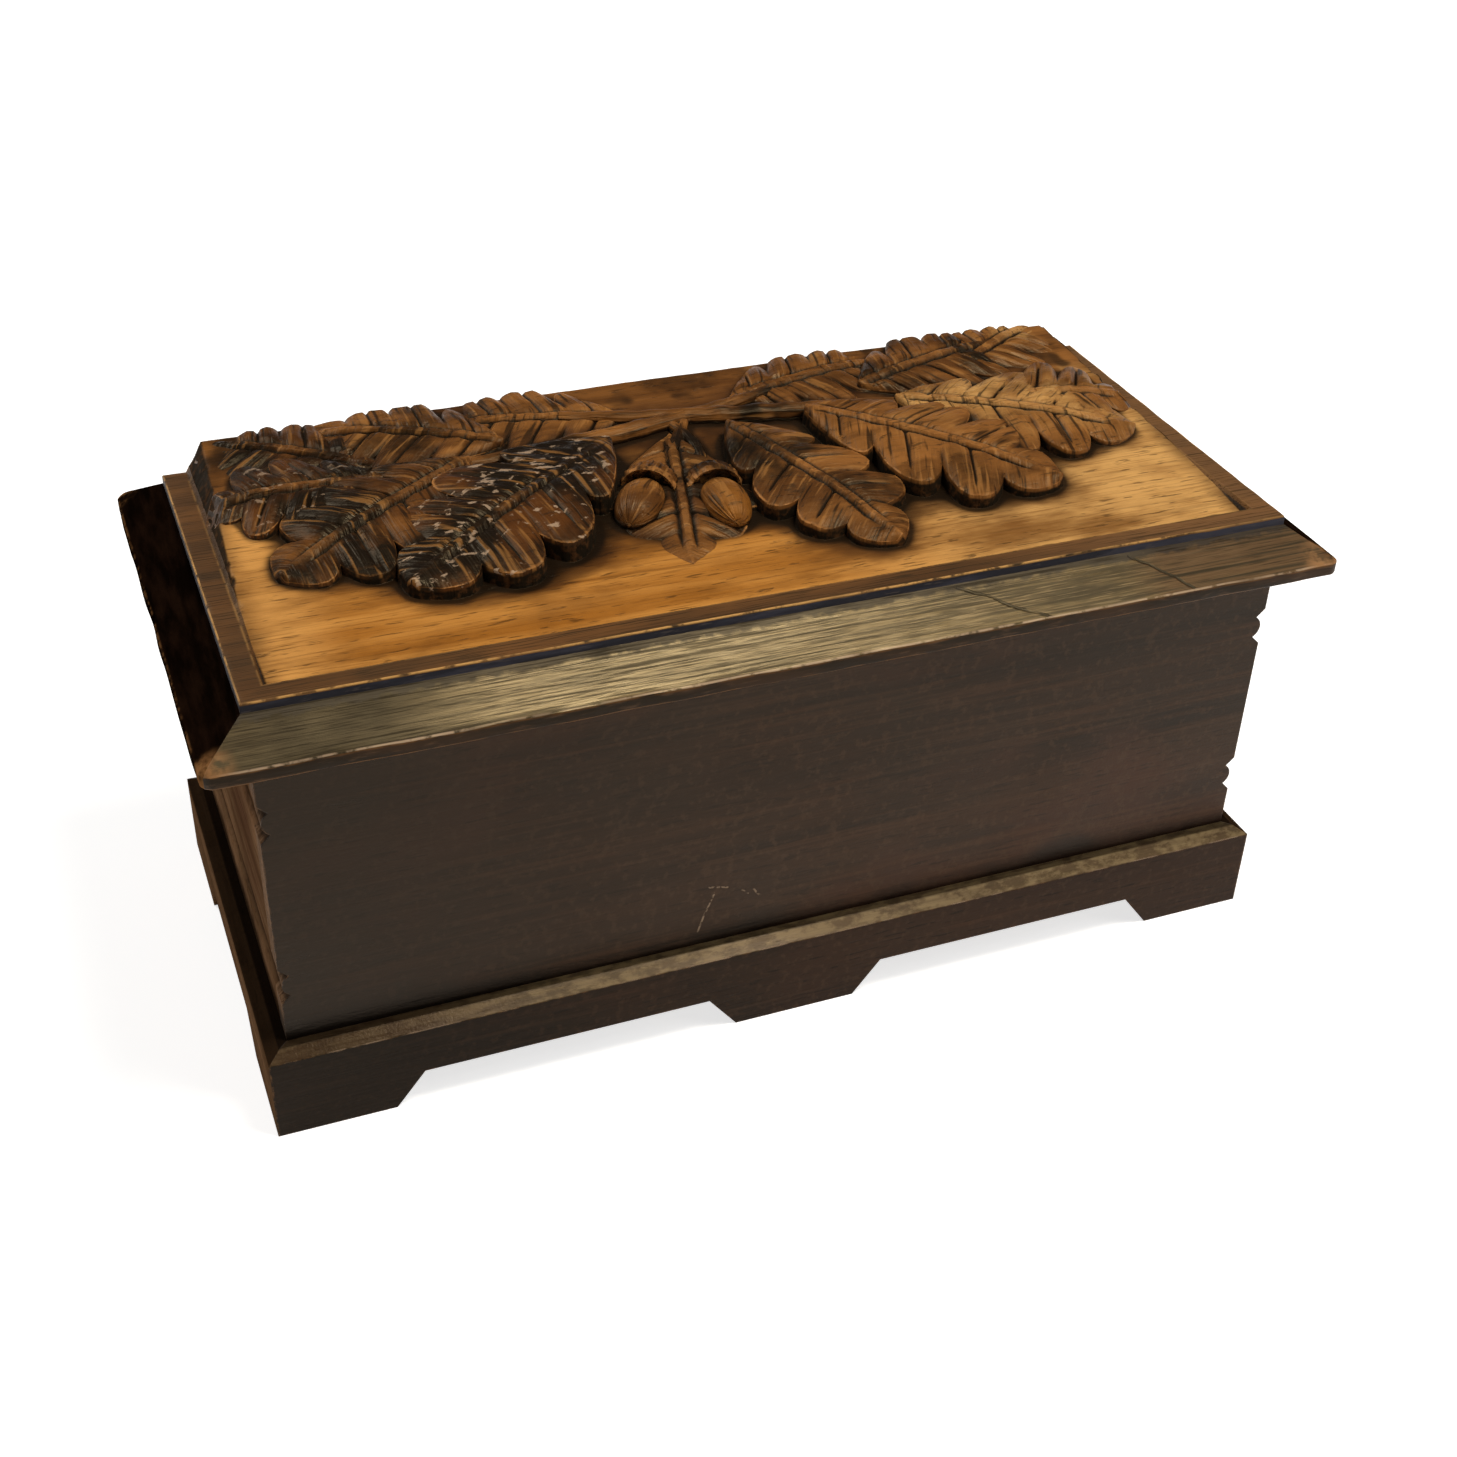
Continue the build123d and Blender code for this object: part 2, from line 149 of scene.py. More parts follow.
def turned_back(u, v, x0, y0, heading):
    c, s = cos_sin(heading)
    return x0 + u * c - v * s, FIELD_MID + y0 + u * s + v * c


def ground_height(x, y):
    flat = GROUND_BACK + (y - FIELD_BACK) / (FIELD_FRONT - FIELD_BACK) * (GROUND_FRONT - GROUND_BACK)
    return flat + 0.05 * waves(x, 2 * y, 30, 7) + 0.02 * waves(x, y, 6, 8)


def lobe_sizes():
    """Each leaf's lobes differ a little in size."""
    rng = np.random.default_rng(SEED)
    return [rng.uniform(0.88, 1.1, (2, len(NOTCHES))) for _ in LEAVES]


def leaf_width(q, v_side, leaf, vary):
    """Half width at a share of the leaf's length, with the place in its lobe and the lobe's span."""
    half = leaf[4]
    inside = np.clip(q, 1e-4, 0.9999)
    lobe_at = np.searchsorted(NOTCHES, inside, "right") - 1
    low = np.array(NOTCHES)[lobe_at]
    span = np.append(NOTCHES, TIP_LOBE_END)[lobe_at + 1] - low
    share = (inside - low) / span
    at_stalk, at_tip = (lobe_at == 0) & (share < 0.5), (lobe_at == len(NOTCHES) - 1) & (share > 0.5)
    lobe = np.where(at_stalk | at_tip, 1.0, 1 - SINUS * np.abs(2 * share - 1) ** 3.2)
    size = 1 + (vary[v_side, lobe_at] - 1) * np.sin(np.pi * share) ** 0.5
    width = half * np.sin(np.pi * inside ** 0.85) ** 0.8 * lobe * size
    return np.maximum(width, STALK * (q < 0.2)), share, span, lobe_at


def leaf_top(x, y, leaf, vary):
    """Height of a leaf's upper side above the ground, how far inside its outline, and how deep in a cut."""
    *place, length, _, rise, _ = leaf
    u, v = turned(x, y, *place)
    side = np.abs(v)
    q = (u - SKEW * side) / length
    width, share, span, lobe_at = leaf_width(q, (v > 0).astype(int), leaf, vary)
    beyond = -np.maximum(side, 3 * np.maximum(-q, q - 1) * length)
    margin = np.where((q < -1e-9) | (q >= 1), beyond, width - side)
    across = np.clip(side / np.maximum(width, 0.5), 0, 1)
    along = np.clip(u / length, 0, 1)
    top = rise - TIP_DROP * smooth(0.55, 1.05, along) - 0.6 * smooth(0.3, 0, along) - CAMBER * across ** 2.2
    rib = np.interp(side / np.minimum(1, width / RIB_FULL), RIB_LINES, RIB_HEIGHTS)
    rib = rib * (1 - smooth(0.82, 0.97, along)) * smooth(0, 0.08, along)
    lobed = lobe_at < len(NOTCHES) - 1
    vein = tent(np.abs(share - 0.5) * span * length, 0, VEIN_HALF)
    vein = vein * smooth(0.04, 0.12, across) * (1 - smooth(0.72, 0.98, across)) * lobed
    facet = (1 - np.abs(np.abs(2 * share - 1) - 0.45) / 0.55) * np.sin(np.pi * across) ** 0.7 * lobed
    top = top + rib + FACET_RISE * facet - VEIN_DEPTH * vein
    return top, margin, np.maximum(vein, np.clip(-rib / 0.9, 0, 1))


def dome(inside, height):
    """Half an egg where inside is above 0."""
    return np.where(inside > 0, ACORN_LIFT + height * np.sqrt(np.clip(inside, 0, 1)), NOTHING)


def acorn_height(x, y, acorn):
    u, v = turned(x, y, *acorn)
    nut = 1 - ((u - NUT_AT) / NUT_LENGTH) ** 2 - (v / NUT_WIDTH) ** 2
    cup = np.where(u > CUP_RIM, -1, 1 - (u / CUP_LENGTH) ** 2 - (v / CUP_WIDTH) ** 2)
    return np.maximum(dome(nut, NUT_HEIGHT), dome(cup, CUP_HEIGHT))


def stem_route(route, count):
    """Points of an arch through the stem's start, middle and end, and its radius at each."""
    x0, y0, xm, ym, x1, y1, radius = route
    t = np.linspace(0, 1, count)
    x, y = ((1 - t) ** 2 * a + 2 * t * (1 - t) * (2 * m - 0.5 * (a + b)) + t * t * b
            for a, m, b in ((x0, xm, x1), (y0, ym, y1)))
    return x, FIELD_MID + y, radius * (1 - STEM_TAPER * np.abs(2 * t - 1))


def stem_height(x, y, route):
    height = np.full(np.shape(x), NOTHING)
    for cx, cy, r in zip(*stem_route(route, 120)):
        square = np.clip(r ** 2 - (x - cx) ** 2 - (y - cy) ** 2, 0, None)
        height = np.maximum(height, STEM_LIFT + np.sqrt(square))
    return np.where(height > STEM_LIFT, height, NOTHING)


def held_in(z, x, y):
    """No higher than the board was thick, and sloping down to the rim at both ends of the field."""
    limit = CARVING_LIMIT - 0.25 + 0.15 * np.clip(waves(x, y, 7, 11), -1, 1)
    flank = (FIELD_X - np.abs(x)) / FLANK * CARVING_LIMIT - np.clip(0.7 * waves(x, y, 7, 12), 0, 1.6)
    return np.minimum(z, np.minimum(limit, np.maximum(flank, GROUND_BACK)))


def height_map():
    """The whole carving's height on an even grid, for the painted shade in its hollows."""
    xs = np.arange(-FIELD_X - 4, FIELD_X + 4, SHADE_STEP)
    ys = np.arange(FIELD_BACK - 4, FIELD_FRONT + 4, SHADE_STEP)
    x, y = np.meshgrid(xs, ys, indexing="ij")
    ground = ground_height(x, y)
    z = ground.copy()
    for leaf, vary in zip(LEAVES, lobe_sizes()):
        top, margin, _ = leaf_top(x, y, leaf, vary)
        z = np.maximum(z, np.where(margin > 0, ground + top, NOTHING))
    for route in STEMS:
        z = np.maximum(z, ground + stem_height(x, y, route))
    for acorn in ACORNS:
        z = np.maximum(z, ground + acorn_height(x, y, acorn))
    z = held_in(z, x, y)
    return xs, ys, box_blur(z, 2), box_blur(z, 7)


HEIGHT_MAP = height_map()


def hollows(x, y, z):
    """How far a point of the carving lies under the mean of what is round it, near and further off."""
    xs, ys, near, far = HEIGHT_MAP
    i = np.clip((x - xs[0]) / SHADE_STEP, 0, len(xs) - 1.001)
    j = np.clip((y - ys[0]) / SHADE_STEP, 0, len(ys) - 1.001)
    i0, j0 = i.astype(int), j.astype(int)
    fi, fj = i - i0, j - j0
    out = []
    for values in (near, far):
        low = values[i0, j0] * (1 - fi) + values[i0 + 1, j0] * fi
        high = values[i0, j0 + 1] * (1 - fi) + values[i0 + 1, j0 + 1] * fi
        out.append(low * (1 - fj) + high * fj - z)
    return out


# Leaves, stems and acorns, each a closed mesh
def quads(index):
    """The corners of each cell of a grid of points."""
    return np.stack([index[:-1, :-1], index[1:, :-1], index[1:, 1:], index[:-1, 1:]], -1)


def band(upper, lower):
    """The faces between two rings of points."""
    return np.column_stack([upper, lower, np.roll(lower, -1), np.roll(upper, -1)]).tolist()


def leaf_rows(length):
    """Where a leaf's rows of points lie, in shares of its length: closer round each vein and notch."""
    rows = []
    for low, high in zip(NOTCHES, (*NOTCHES[1:], TIP_LOBE_END)):
        cut = VEIN_HALF / ((high - low) * length)
        shares = (*BEFORE_VEIN, 0.5 - cut, 0.5, 0.5 + cut, *AFTER_VEIN)
        rows += [low + share * (high - low) for share in shares]
    return np.array([row for row in rows if row < LEAF_END] + [LEAF_END])


def leaf_form(leaf, vary):
    *place, length, _, _, tone = leaf
    q = leaf_rows(length)
    sides = []
    for v_side in (0, 1):
        width = leaf_width(q, np.full(q.shape, v_side), leaf, vary)[0][:, None]
        ribs = np.array(RIB_LINES) * np.minimum(1, width / RIB_FULL)
        sides.append(np.hstack([ribs, ribs[:, -1:] + (width - ribs[:, -1:]) * RIB_TO_EDGE]))
    v = np.hstack([-sides[0][:, :0:-1], sides[1]])
    u = q[:, None] * length + SKEW * np.abs(v)
    rows, columns = v.shape
    x, y = turned_back(np.append(u.ravel(), length), np.append(v.ravel(), 0), *place)
    top, _, cut = leaf_top(x, y, leaf, vary)
    ground = ground_height(x, y)
    z = held_in(ground + top + 0.08 * waves(x, y, 6, 9), x, y)
    worn = np.zeros(v.shape)
    worn[:, 0] = worn[:, -1] = worn[0] = 1
    worn[:, columns // 2 - 1:columns // 2 + 2] = 0.5
    worn = np.append(worn.ravel(), 1)
    along = np.append(np.repeat(q * length, columns), length) + 37 * place[2]
    index = np.arange(rows * columns).reshape(rows, columns)
    tip = rows * columns
    faces = quads(index).reshape(-1, 4).tolist()
    faces += [[index[-1, j], tip, index[-1, j + 1]] for j in range(columns - 1)]
    loop = np.concatenate([index[:, 0], [tip], index[::-1, -1], index[0, -2:0:-1]])
    return walled(np.column_stack([x, y, z]), faces, loop, ground, cut, worn, along, tone)


def walled(points, faces, loop, ground, cut, worn, along, tone):
    """Adds the cut sides under a form's outline, down into the ground, and its underside."""
    around = points[loop]
    step = np.roll(around, -1, 0) - np.roll(around, 1, 0)
    reach = np.maximum(np.hypot(step[:, 0], step[:, 1]), 1e-6)[:, None]
    outward = np.column_stack([step[:, 1], -step[:, 0]]) / reach
    buried = np.minimum(ground[loop] - 1.0, around[:, 2] - 1.2)
    rings, all_points, stain = [loop], [points], [np.zeros(len(points))]
    for k, (out, down, dark) in enumerate(WALL_RINGS):
        ring = around.copy()
        ring[:, :2] += out * outward
        ring[:, 2] = np.maximum(around[:, 2] - down, buried + 0.4) if down else buried
        rings.append(len(points) + k * len(loop) + np.arange(len(loop)))
        all_points.append(ring)
        # each ring's third value darkens the cut side: dark stain and painted shade
        stain.append(np.full(len(loop), dark))
    for upper, lower in zip(rings, rings[1:]):
        faces += band(upper, lower)
    faces.append(rings[-1][::-1].tolist())
    beside = np.zeros(len(WALL_RINGS) * len(loop))
    values = dict(cut=np.append(cut, beside), worn=np.append(worn, beside), steep=np.concatenate(stain),
                  tone=np.full(len(points) + len(beside), tone),
                  along=np.append(along, np.tile(along[loop], len(WALL_RINGS))))
    return np.vstack(all_points), faces, values


def round_form(centres, radii, across, tone, worn, turns, knobs=0):
    """A closed form of rings round a line of centres; each ring has a radius to the side and one upward."""
    angles = np.linspace(0, 2 * np.pi, turns, endpoint=False)
    points = []
    for k, (centre, (wide, high), sideways) in enumerate(zip(centres, radii, across)):
        swell = 1 + knobs * np.cos(CUP_KNOBS * angles) * math.cos(0.5 * math.pi * k)
        beside = np.outer(wide * swell * np.cos(angles), sideways)
        points.append(centre + beside + np.outer(high * swell * np.sin(angles), (0, 0, 1)))
    points = np.vstack(points)
    index = np.arange(len(points)).reshape(-1, turns)
    after = np.roll(index, -1, 1)
    faces = np.stack([index[:-1], after[:-1], after[1:], index[1:]], -1).reshape(-1, 4).tolist()
    faces += [index[0, ::-1].tolist(), index[-1].tolist()]
    nothing = np.zeros(len(points))
    values = dict(cut=nothing, worn=np.repeat(worn, turns), steep=nothing,
                  tone=np.full(len(points), tone), along=np.tile(angles * radii.max(), len(centres)))
    return points, faces, values


def along_line(x, y, lift):
    """Centres on the sloping ground and the level direction across the line at each."""
    z = ground_height(x, y) + lift
    tangent = np.column_stack([np.gradient(x), np.gradient(y)])
    tangent /= np.hypot(*tangent.T)[:, None]
    return np.column_stack([x, y, z]), np.column_stack([tangent[:, 1], -tangent[:, 0], np.zeros(len(x))])


def stem_form(route):
    x, y, radius = stem_route(route, 70)
    centres, across = along_line(x, y, STEM_LIFT)
    bumpy = radius * (1 + 0.05 * waves(x, y, 9, 41))
    return round_form(centres, np.column_stack([bumpy, bumpy]), across, 0.3, np.full(len(x), 0.15), 16)


def acorn_forms(acorn):
    """The nut with its small point, and the knobbed cup with its rolled rim."""
    bend = np.linspace(0.02, 0.98, 22)
    nut, nut_share = NUT_AT - NUT_LENGTH * np.cos(np.pi * bend), np.sin(np.pi * bend)
    nut, nut_share = np.append(nut, nut[-1] + NUT_POINT), np.append(nut_share, 0.02)
    turn = 0.5 * np.pi * bend[:18] / bend[17]
    roll, roll_share = zip(*CUP_ROLL)
    cup, cup_share = np.append(-CUP_LENGTH * np.cos(turn), roll), np.append(np.sin(turn), roll_share)
    nut_worn, cup_worn = 0.3 * (nut_share > 0.3), np.where(np.abs(cup - 1.6) < 1.0, 0.9, 0.0)
    middle = turned_back(np.array(ACORN_MIDDLE), np.array(0.0), *acorn)
    level = ground_height(*middle) + ACORN_LIFT
    c, s = cos_sin(acorn[2])
    out = []
    for u, share, width, height, tone, worn, knobs in (
            (nut, nut_share, NUT_WIDTH, NUT_HEIGHT, 0.66, nut_worn, 0),
            (cup, cup_share, CUP_WIDTH, CUP_HEIGHT, 0.30, cup_worn, KNOB_RISE)):
        x, y = turned_back(u, 0 * u, *acorn)
        centres = np.column_stack([x, y, np.full(len(u), level)])
        radii = np.column_stack([width * share, height * share])
        across = np.tile([s, -c, 0.0], (len(u), 1))
        out.append(round_form(centres, radii, across, tone, worn, ACORN_TURNS, knobs))
    return out


def joined(forms):
    """Several forms as one mesh's points, faces and attributes."""
    start, faces = 0, []
    for points, its_faces, _ in forms:
        faces += [[start + i for i in face] for face in its_faces]
        start += len(points)
    values = {name: np.concatenate([form[2][name] for form in forms]) for name in forms[0][2]}
    return np.vstack([form[0] for form in forms]), faces, values


def give_values(mesh, values):
    for name, numbers in values.items():
        mesh.attributes.new(name, "FLOAT", "POINT").data.foreach_set("value", numbers.astype(np.float32))


def read_values(data, name, count):
    out = np.empty(count, np.float32)
    data.foreach_get(name, out)
    return out


def trimmed(points, faces, values):
    """Cut off flat at the field's ends and front, and closed there."""
    mesh = bpy.data.meshes.new("spray")
    mesh.from_pydata(points.tolist(), [], faces)
    give_values(mesh, values)
    form = bmesh.new()
    form.from_mesh(mesh)
    bmesh.ops.triangulate(form, faces=[face for face in form.faces if len(face.verts) > 4])
    end, front = FIELD_X - 0.05, FIELD_FRONT - 0.02
    for at, outward in (((end, 0, 0), (1, 0, 0)), ((-end, 0, 0), (-1, 0, 0)), ((0, front, 0), (0, 1, 0))):
        whole = form.verts[:] + form.edges[:] + form.faces[:]
        cut = bmesh.ops.bisect_plane(form, geom=whole, plane_co=at, plane_no=outward, clear_outer=True)
        bmesh.ops.holes_fill(form, edges=[e for e in cut["geom_cut"] if isinstance(e, bmesh.types.BMEdge)])
    form.to_mesh(mesh)
    form.free()
    count = len(mesh.vertices)
    points = read_values(mesh.vertices, "co", 3 * count).reshape(-1, 3).astype(float)
    values = {name: read_values(mesh.attributes[name].data, "value", count) for name in values}
    faces = [list(polygon.vertices) for polygon in mesh.polygons]
    bpy.data.meshes.remove(mesh)
    return points, faces, values


def spray():
    forms = [leaf_form(leaf, vary) for leaf, vary in zip(LEAVES, lobe_sizes())]
    forms += [stem_form(route) for route in STEMS]
    for acorn in ACORNS:
        forms += acorn_forms(acorn)
    points, faces, values = joined(forms)
    points[:, 2] = held_in(points[:, 2], points[:, 0], points[:, 1])
    points, faces, values = trimmed(points, faces, values)
    values["cavity"], values["shade"] = hollows(*points.T)
    points[:, 2] += RIM_TOP
    return points, faces, values


# The lid's mesh
def lines(stops, step):
    """Grid lines through every stop, with a fine step in the field and a coarser one on the border."""
    stops = sorted(stops)
    out = [stops[0]]
    for a, b in zip(stops, stops[1:]):
        count = max(1, math.ceil((b - a) / step(0.5 * (a + b))))
        out += list(np.linspace(a, b, count + 1)[1:])
    return np.array(out)


def border_height(x, y, inset):
    """Bevel, step and rim, with the waviness and the worn edges of handwork."""
    wave = 0.04 * waves(x, y, 60, 21) + 0.01 * waves(x, y, 9, 22)
    bevel = EDGE_TOP + (BEVEL_TOP - EDGE_TOP) * np.clip(inset / BEVEL, 0, 1) + wave * smooth(0, 3, inset)
    worn = 0.16 + 0.06 * waves(x, y, 16, 23)
    bevel -= np.clip(worn, 0.05, 0.4) * (1 - smooth(0, 0.5, inset))
    arris = 0.45 * (inset < BEVEL + 0.1)
    rim_worn = np.clip(0.12 + 0.05 * waves(x, y, 12, 24), 0.04, 0.3)
    rim = RIM_TOP - 0.1 + 0.5 * wave - arris - rim_worn * (1 - smooth(0.2, 0.6, inset - BEVEL))
    return np.where(inset < BEVEL + 0.02, bevel, rim)


def grid_lines():
    """The grid's lines along x and y, the same in both borders, so that mitres meet the cells' corners."""
    pocket = [LID_Y + PIN_Y + POCKET_RADIUS * math.cos(math.radians(a)) for a in range(0, 181, 30)]
    mortise = [LID_Y + MORTISE_END, LID_Y + MORTISE_END - 0.01]
    stops = [0, 0.25, 0.7, BEVEL, BEVEL + 0.04, BEVEL + 0.25, BEVEL + 0.7, RIM_INNER - 0.2, RIM_INNER]
    border = lines(stops + pocket + mortise, lambda m: BORDER_STEP if m < BEVEL else FIELD_STEP)
    hinges = [s * (HINGE_X + t * HINGE_HALF) for s in (-1, 1) for t in (-1, 1)]
    out = []
    for half, needed in ((LID_X, hinges), (LID_Y, [])):
        middle = lines([RIM_INNER - half, half - RIM_INNER] + needed, lambda m: FIELD_STEP)
        out.append(np.concatenate([border - half, middle[1:-1], (half - border)[::-1]]))
    mitred = int(np.argmin(np.abs(border - BEVEL - 0.25)))
    return out[0], out[1], mitred, hinges, [m - LID_Y for m in pocket + mortise]


def inset_of(x, y):
    """How far a point lies inside the lid's outline."""
    return np.minimum(LID_X - np.abs(x), LID_Y - np.abs(y))


def in_field(x, y):
    return (np.abs(x) < FIELD_X - 0.1) & (y > FIELD_BACK + 0.1) & (y < FIELD_FRONT - 0.1)


def lid_top(x, y, xs):
    """The top's height over the grid, and the values from which its wood takes its painted shade and its
    wear.
    """
    inset, field = inset_of(x, y), in_field(x, y)
    height = held_in(ground_height(x, y), x, y)
    z = np.where(field, RIM_TOP + height, border_height(x, y, inset))
    cavity, shade = (np.where(field, hollow, 0) for hollow in hollows(x, y, height))
    # steep marks the flanks beside the rim, which the carved wood darkens with stain and painted shade
    slope = np.clip(np.abs(np.gradient(z, xs, axis=0)), 0, 1)
    steep = np.where(field & (np.abs(x) > FIELD_X - 7), slope, 0)
    worn = 0.75 * tent(inset, 0.2, 0.4) + tent(inset, BEVEL + 0.27, 0.22)
    worn = worn + 0.35 * tent(inset, RIM_INNER - 0.1, 0.8)
    nothing = np.zeros(x.shape)
    values = dict(cavity=cavity, shade=shade, tone=1 - 0.55 * smooth(0, 45, y), steep=steep, cut=nothing,
                  along=nothing, worn=worn)
    return z.ravel(), {name: numbers.ravel() for name, numbers in values.items()}


def worn_outline(x, y):
    """The grid's x and y, with the lid's corners worn round and its edge not quite straight."""
    reach = ((x, LID_X), (y, LID_Y))
    u, v = (np.clip((np.abs(at) - (half - CORNER_ROUND)) / CORNER_ROUND, 0, 1) for at, half in reach)
    pull = np.where((u > 0) & (v > 0), np.maximum(u, v) / np.maximum(np.hypot(u, v), 1e-6), 1)
    drift = np.clip(0.10 * (1 - smooth(0, 1.5, inset_of(x, y))) * (1 + waves(x, y, 20, 31)), 0, 1)
    out = []
    for (at, half), share in zip(reach, (u, v)):
        rounded = np.where(share > 0, np.sign(at) * (half - CORNER_ROUND + share * pull * CORNER_ROUND), at)
        out.append((rounded - np.sign(at) * drift * (np.abs(at) > half - 2)).ravel())
    return out


def top_faces(xs, ys, index, mitred):
    """The top's cells and their materials. The border's corner cells are split along the mitres."""
    nx, ny = index.shape
    field = in_field(*np.meshgrid(xs, ys, indexing="ij"))
    across = LID_X - np.abs(0.5 * (xs[:-1] + xs[1:]))[:, None]
    along = LID_Y - np.abs(0.5 * (ys[:-1] + ys[1:]))[None, :]
    finish = np.where((across < along) & (across < BEVEL), BORDER_END, BORDER)
    finish = np.where(field[:-1, :-1] & field[1:, :-1], CARVED, finish)
    finish = np.where(np.abs(np.minimum(across, along) - BEVEL - 0.02) < 0.021, STEP, finish)
    plain = np.ones(finish.shape, bool)
    faces, materials = [], []
    for k in range(mitred):
        for outer_x, inner_x, turn_x in ((k, k + 1, 1), (nx - 1 - k, nx - 2 - k, -1)):
            for outer_y, inner_y, turn_y in ((k, k + 1, 1), (ny - 1 - k, ny - 2 - k, -1)):
                plain[min(outer_x, inner_x), min(outer_y, inner_y)] = False
                o, i = index[outer_x, outer_y], index[inner_x, inner_y]
                halves = [o, index[inner_x, outer_y], i], [o, i, index[outer_x, inner_y]]
                faces += [half[::turn_x * turn_y] for half in halves]
                materials += [STEP, STEP] if k == mitred - 2 else [BORDER, BORDER_END]
    return faces + quads(index)[plain].tolist(), materials + finish[plain].tolist()


def ring_places(nx, ny):
    """The grid's outermost points, in turn."""
    return ([(i, 0) for i in range(nx)] + [(nx - 1, j) for j in range(1, ny)]
            + [(i, ny - 1) for i in range(nx - 2, -1, -1)] + [(0, j) for j in range(ny - 2, 0, -1)])


def edge_rings(px, py, index):
    """The edge: rings under the top's border, the lowest in the plane of the underside."""
    ring = index[tuple(np.transpose(ring_places(*index.shape)))]
    rx, ry = px[ring], py[ring]
    points, rings, faces, materials = [], [ring], [], []
    for level, inward, _ in EDGE_RINGS:
        in_x, in_y = (inward * np.sign(r) * (np.abs(r) > half - 3) for r, half in ((rx, LID_X), (ry, LID_Y)))
        rings.append(index.size + len(points) * len(ring) + np.arange(len(ring)))
        points.append(np.column_stack([rx - in_x, ry - in_y, np.full(len(ring), level)]))
    for upper, lower in zip(rings, rings[1:]):
        faces += band(upper, lower)
        materials += np.where(np.abs(rx) > LID_X - 1, BORDER_END, EDGE).tolist()
    return np.vstack(points), rings[-1], faces, materials


def coarse(values, needed):
    """Places of the grid's lines that the underside uses: its ends, those needed, and a few between."""
    keep = {0, len(values) - 1} | {int(np.argmin(np.abs(values - n))) for n in needed}
    for low, high in zip(sorted(keep), sorted(keep)[1:]):
        parts = max(1, int((values[high] - values[low]) / UNDER_STEP))
        keep |= {int(k) for k in np.linspace(low, high, parts + 1).round()}
    return sorted(keep)


def places(a, b, fine):
    """The places from a up to, but not with, b: all where the fine border runs, and otherwise a alone."""
    return range(a, b, 1 if b > a else -1) if fine else [a]


def under_height(x, y):
    """The underside is flat but for the hinges' mortises and their round knuckle pockets."""
    if abs(abs(x) - HINGE_X) > HINGE_HALF + 0.01 or y > MORTISE_END - 0.005 or y < PIN_Y - POCKET_RADIUS:
        return LID_UNDER
    pocket = math.sqrt(max(POCKET_RADIUS ** 2 - (y - PIN_Y) ** 2, 0))
    return LID_UNDER + max(pocket, MORTISE_DEPTH if y > PIN_Y else 0)


def underside(xs, ys, hinge_lines, mortise_lines, ring, start):
    """Coarse cells between some of the grid's own lines, joined to the edge's lowest ring."""
    nx, ny = len(xs), len(ys)
    rough_x, rough_y = coarse(xs, hinge_lines), coarse(ys, mortise_lines)
    place = dict(zip(ring_places(nx, ny), ring))
    points, faces = [], []
    for i in rough_x[1:-1]:
        for j in rough_y[1:-1]:
            place[(i, j)] = start + len(points)
            points.append((xs[i], ys[j], under_height(xs[i], ys[j])))
    for i0, i1 in zip(rough_x, rough_x[1:]):
        for j0, j1 in zip(rough_y, rough_y[1:]):
            loop = [(i0, j) for j in places(j0, j1, i0 == 0)]
            loop += [(i, j1) for i in places(i0, i1, j1 == ny - 1)]
            loop += [(i1, j) for j in places(j1, j0, i1 == nx - 1)]
            loop += [(i, j0) for i in places(i1, i0, j0 == 0)]
            faces.append([int(place[at]) for at in loop])
    return points, faces


def lid_mesh():
    xs, ys, mitred, hinge_lines, mortise_lines = grid_lines()
    x, y = np.meshgrid(xs, ys, indexing="ij")
    index = np.arange(x.size).reshape(x.shape)
    z, values = lid_top(x, y, xs)
    px, py = worn_outline(x, y)
    faces, materials = top_faces(xs, ys, index, mitred)
    edge_points, lowest, edge_faces, edge_materials = edge_rings(px, py, index)
    start = index.size + len(edge_points)
    under_points, under_faces = underside(xs, ys, hinge_lines, mortise_lines, lowest, start)
    points = np.vstack([np.column_stack([px, py, z]), edge_points, under_points])
    values["worn"] = np.append(values["worn"], np.repeat([wear for _, _, wear in EDGE_RINGS], len(lowest)))
    spray_points, spray_faces, spray_values = spray()
    for name, numbers in values.items():
        values[name] = np.concatenate([numbers, np.zeros(len(points) - numbers.size), spray_values[name]])
    faces += edge_faces + under_faces + [[len(points) + i for i in face] for face in spray_faces]
    materials += edge_materials + [UNDER] * len(under_faces) + [CARVED] * len(spray_faces)
    return np.vstack([points, spray_points]) * MM, faces, materials, values


def carved_lid():
    points, faces, materials, values = lid_mesh()
    mesh = bpy.data.meshes.new("carved_lid")
    mesh.from_pydata(points.tolist(), [], faces)
    give_values(mesh, values)
    mesh.attributes.new("material_index", "INT", "FACE").data.foreach_set("value", materials)
    mesh.validate()
    made = bpy.data.objects.new("carved_lid", mesh)
    scene.collection.objects.link(made)
    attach(made, "lid")
    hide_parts("lid_board")
    return made


lid = carved_lid()


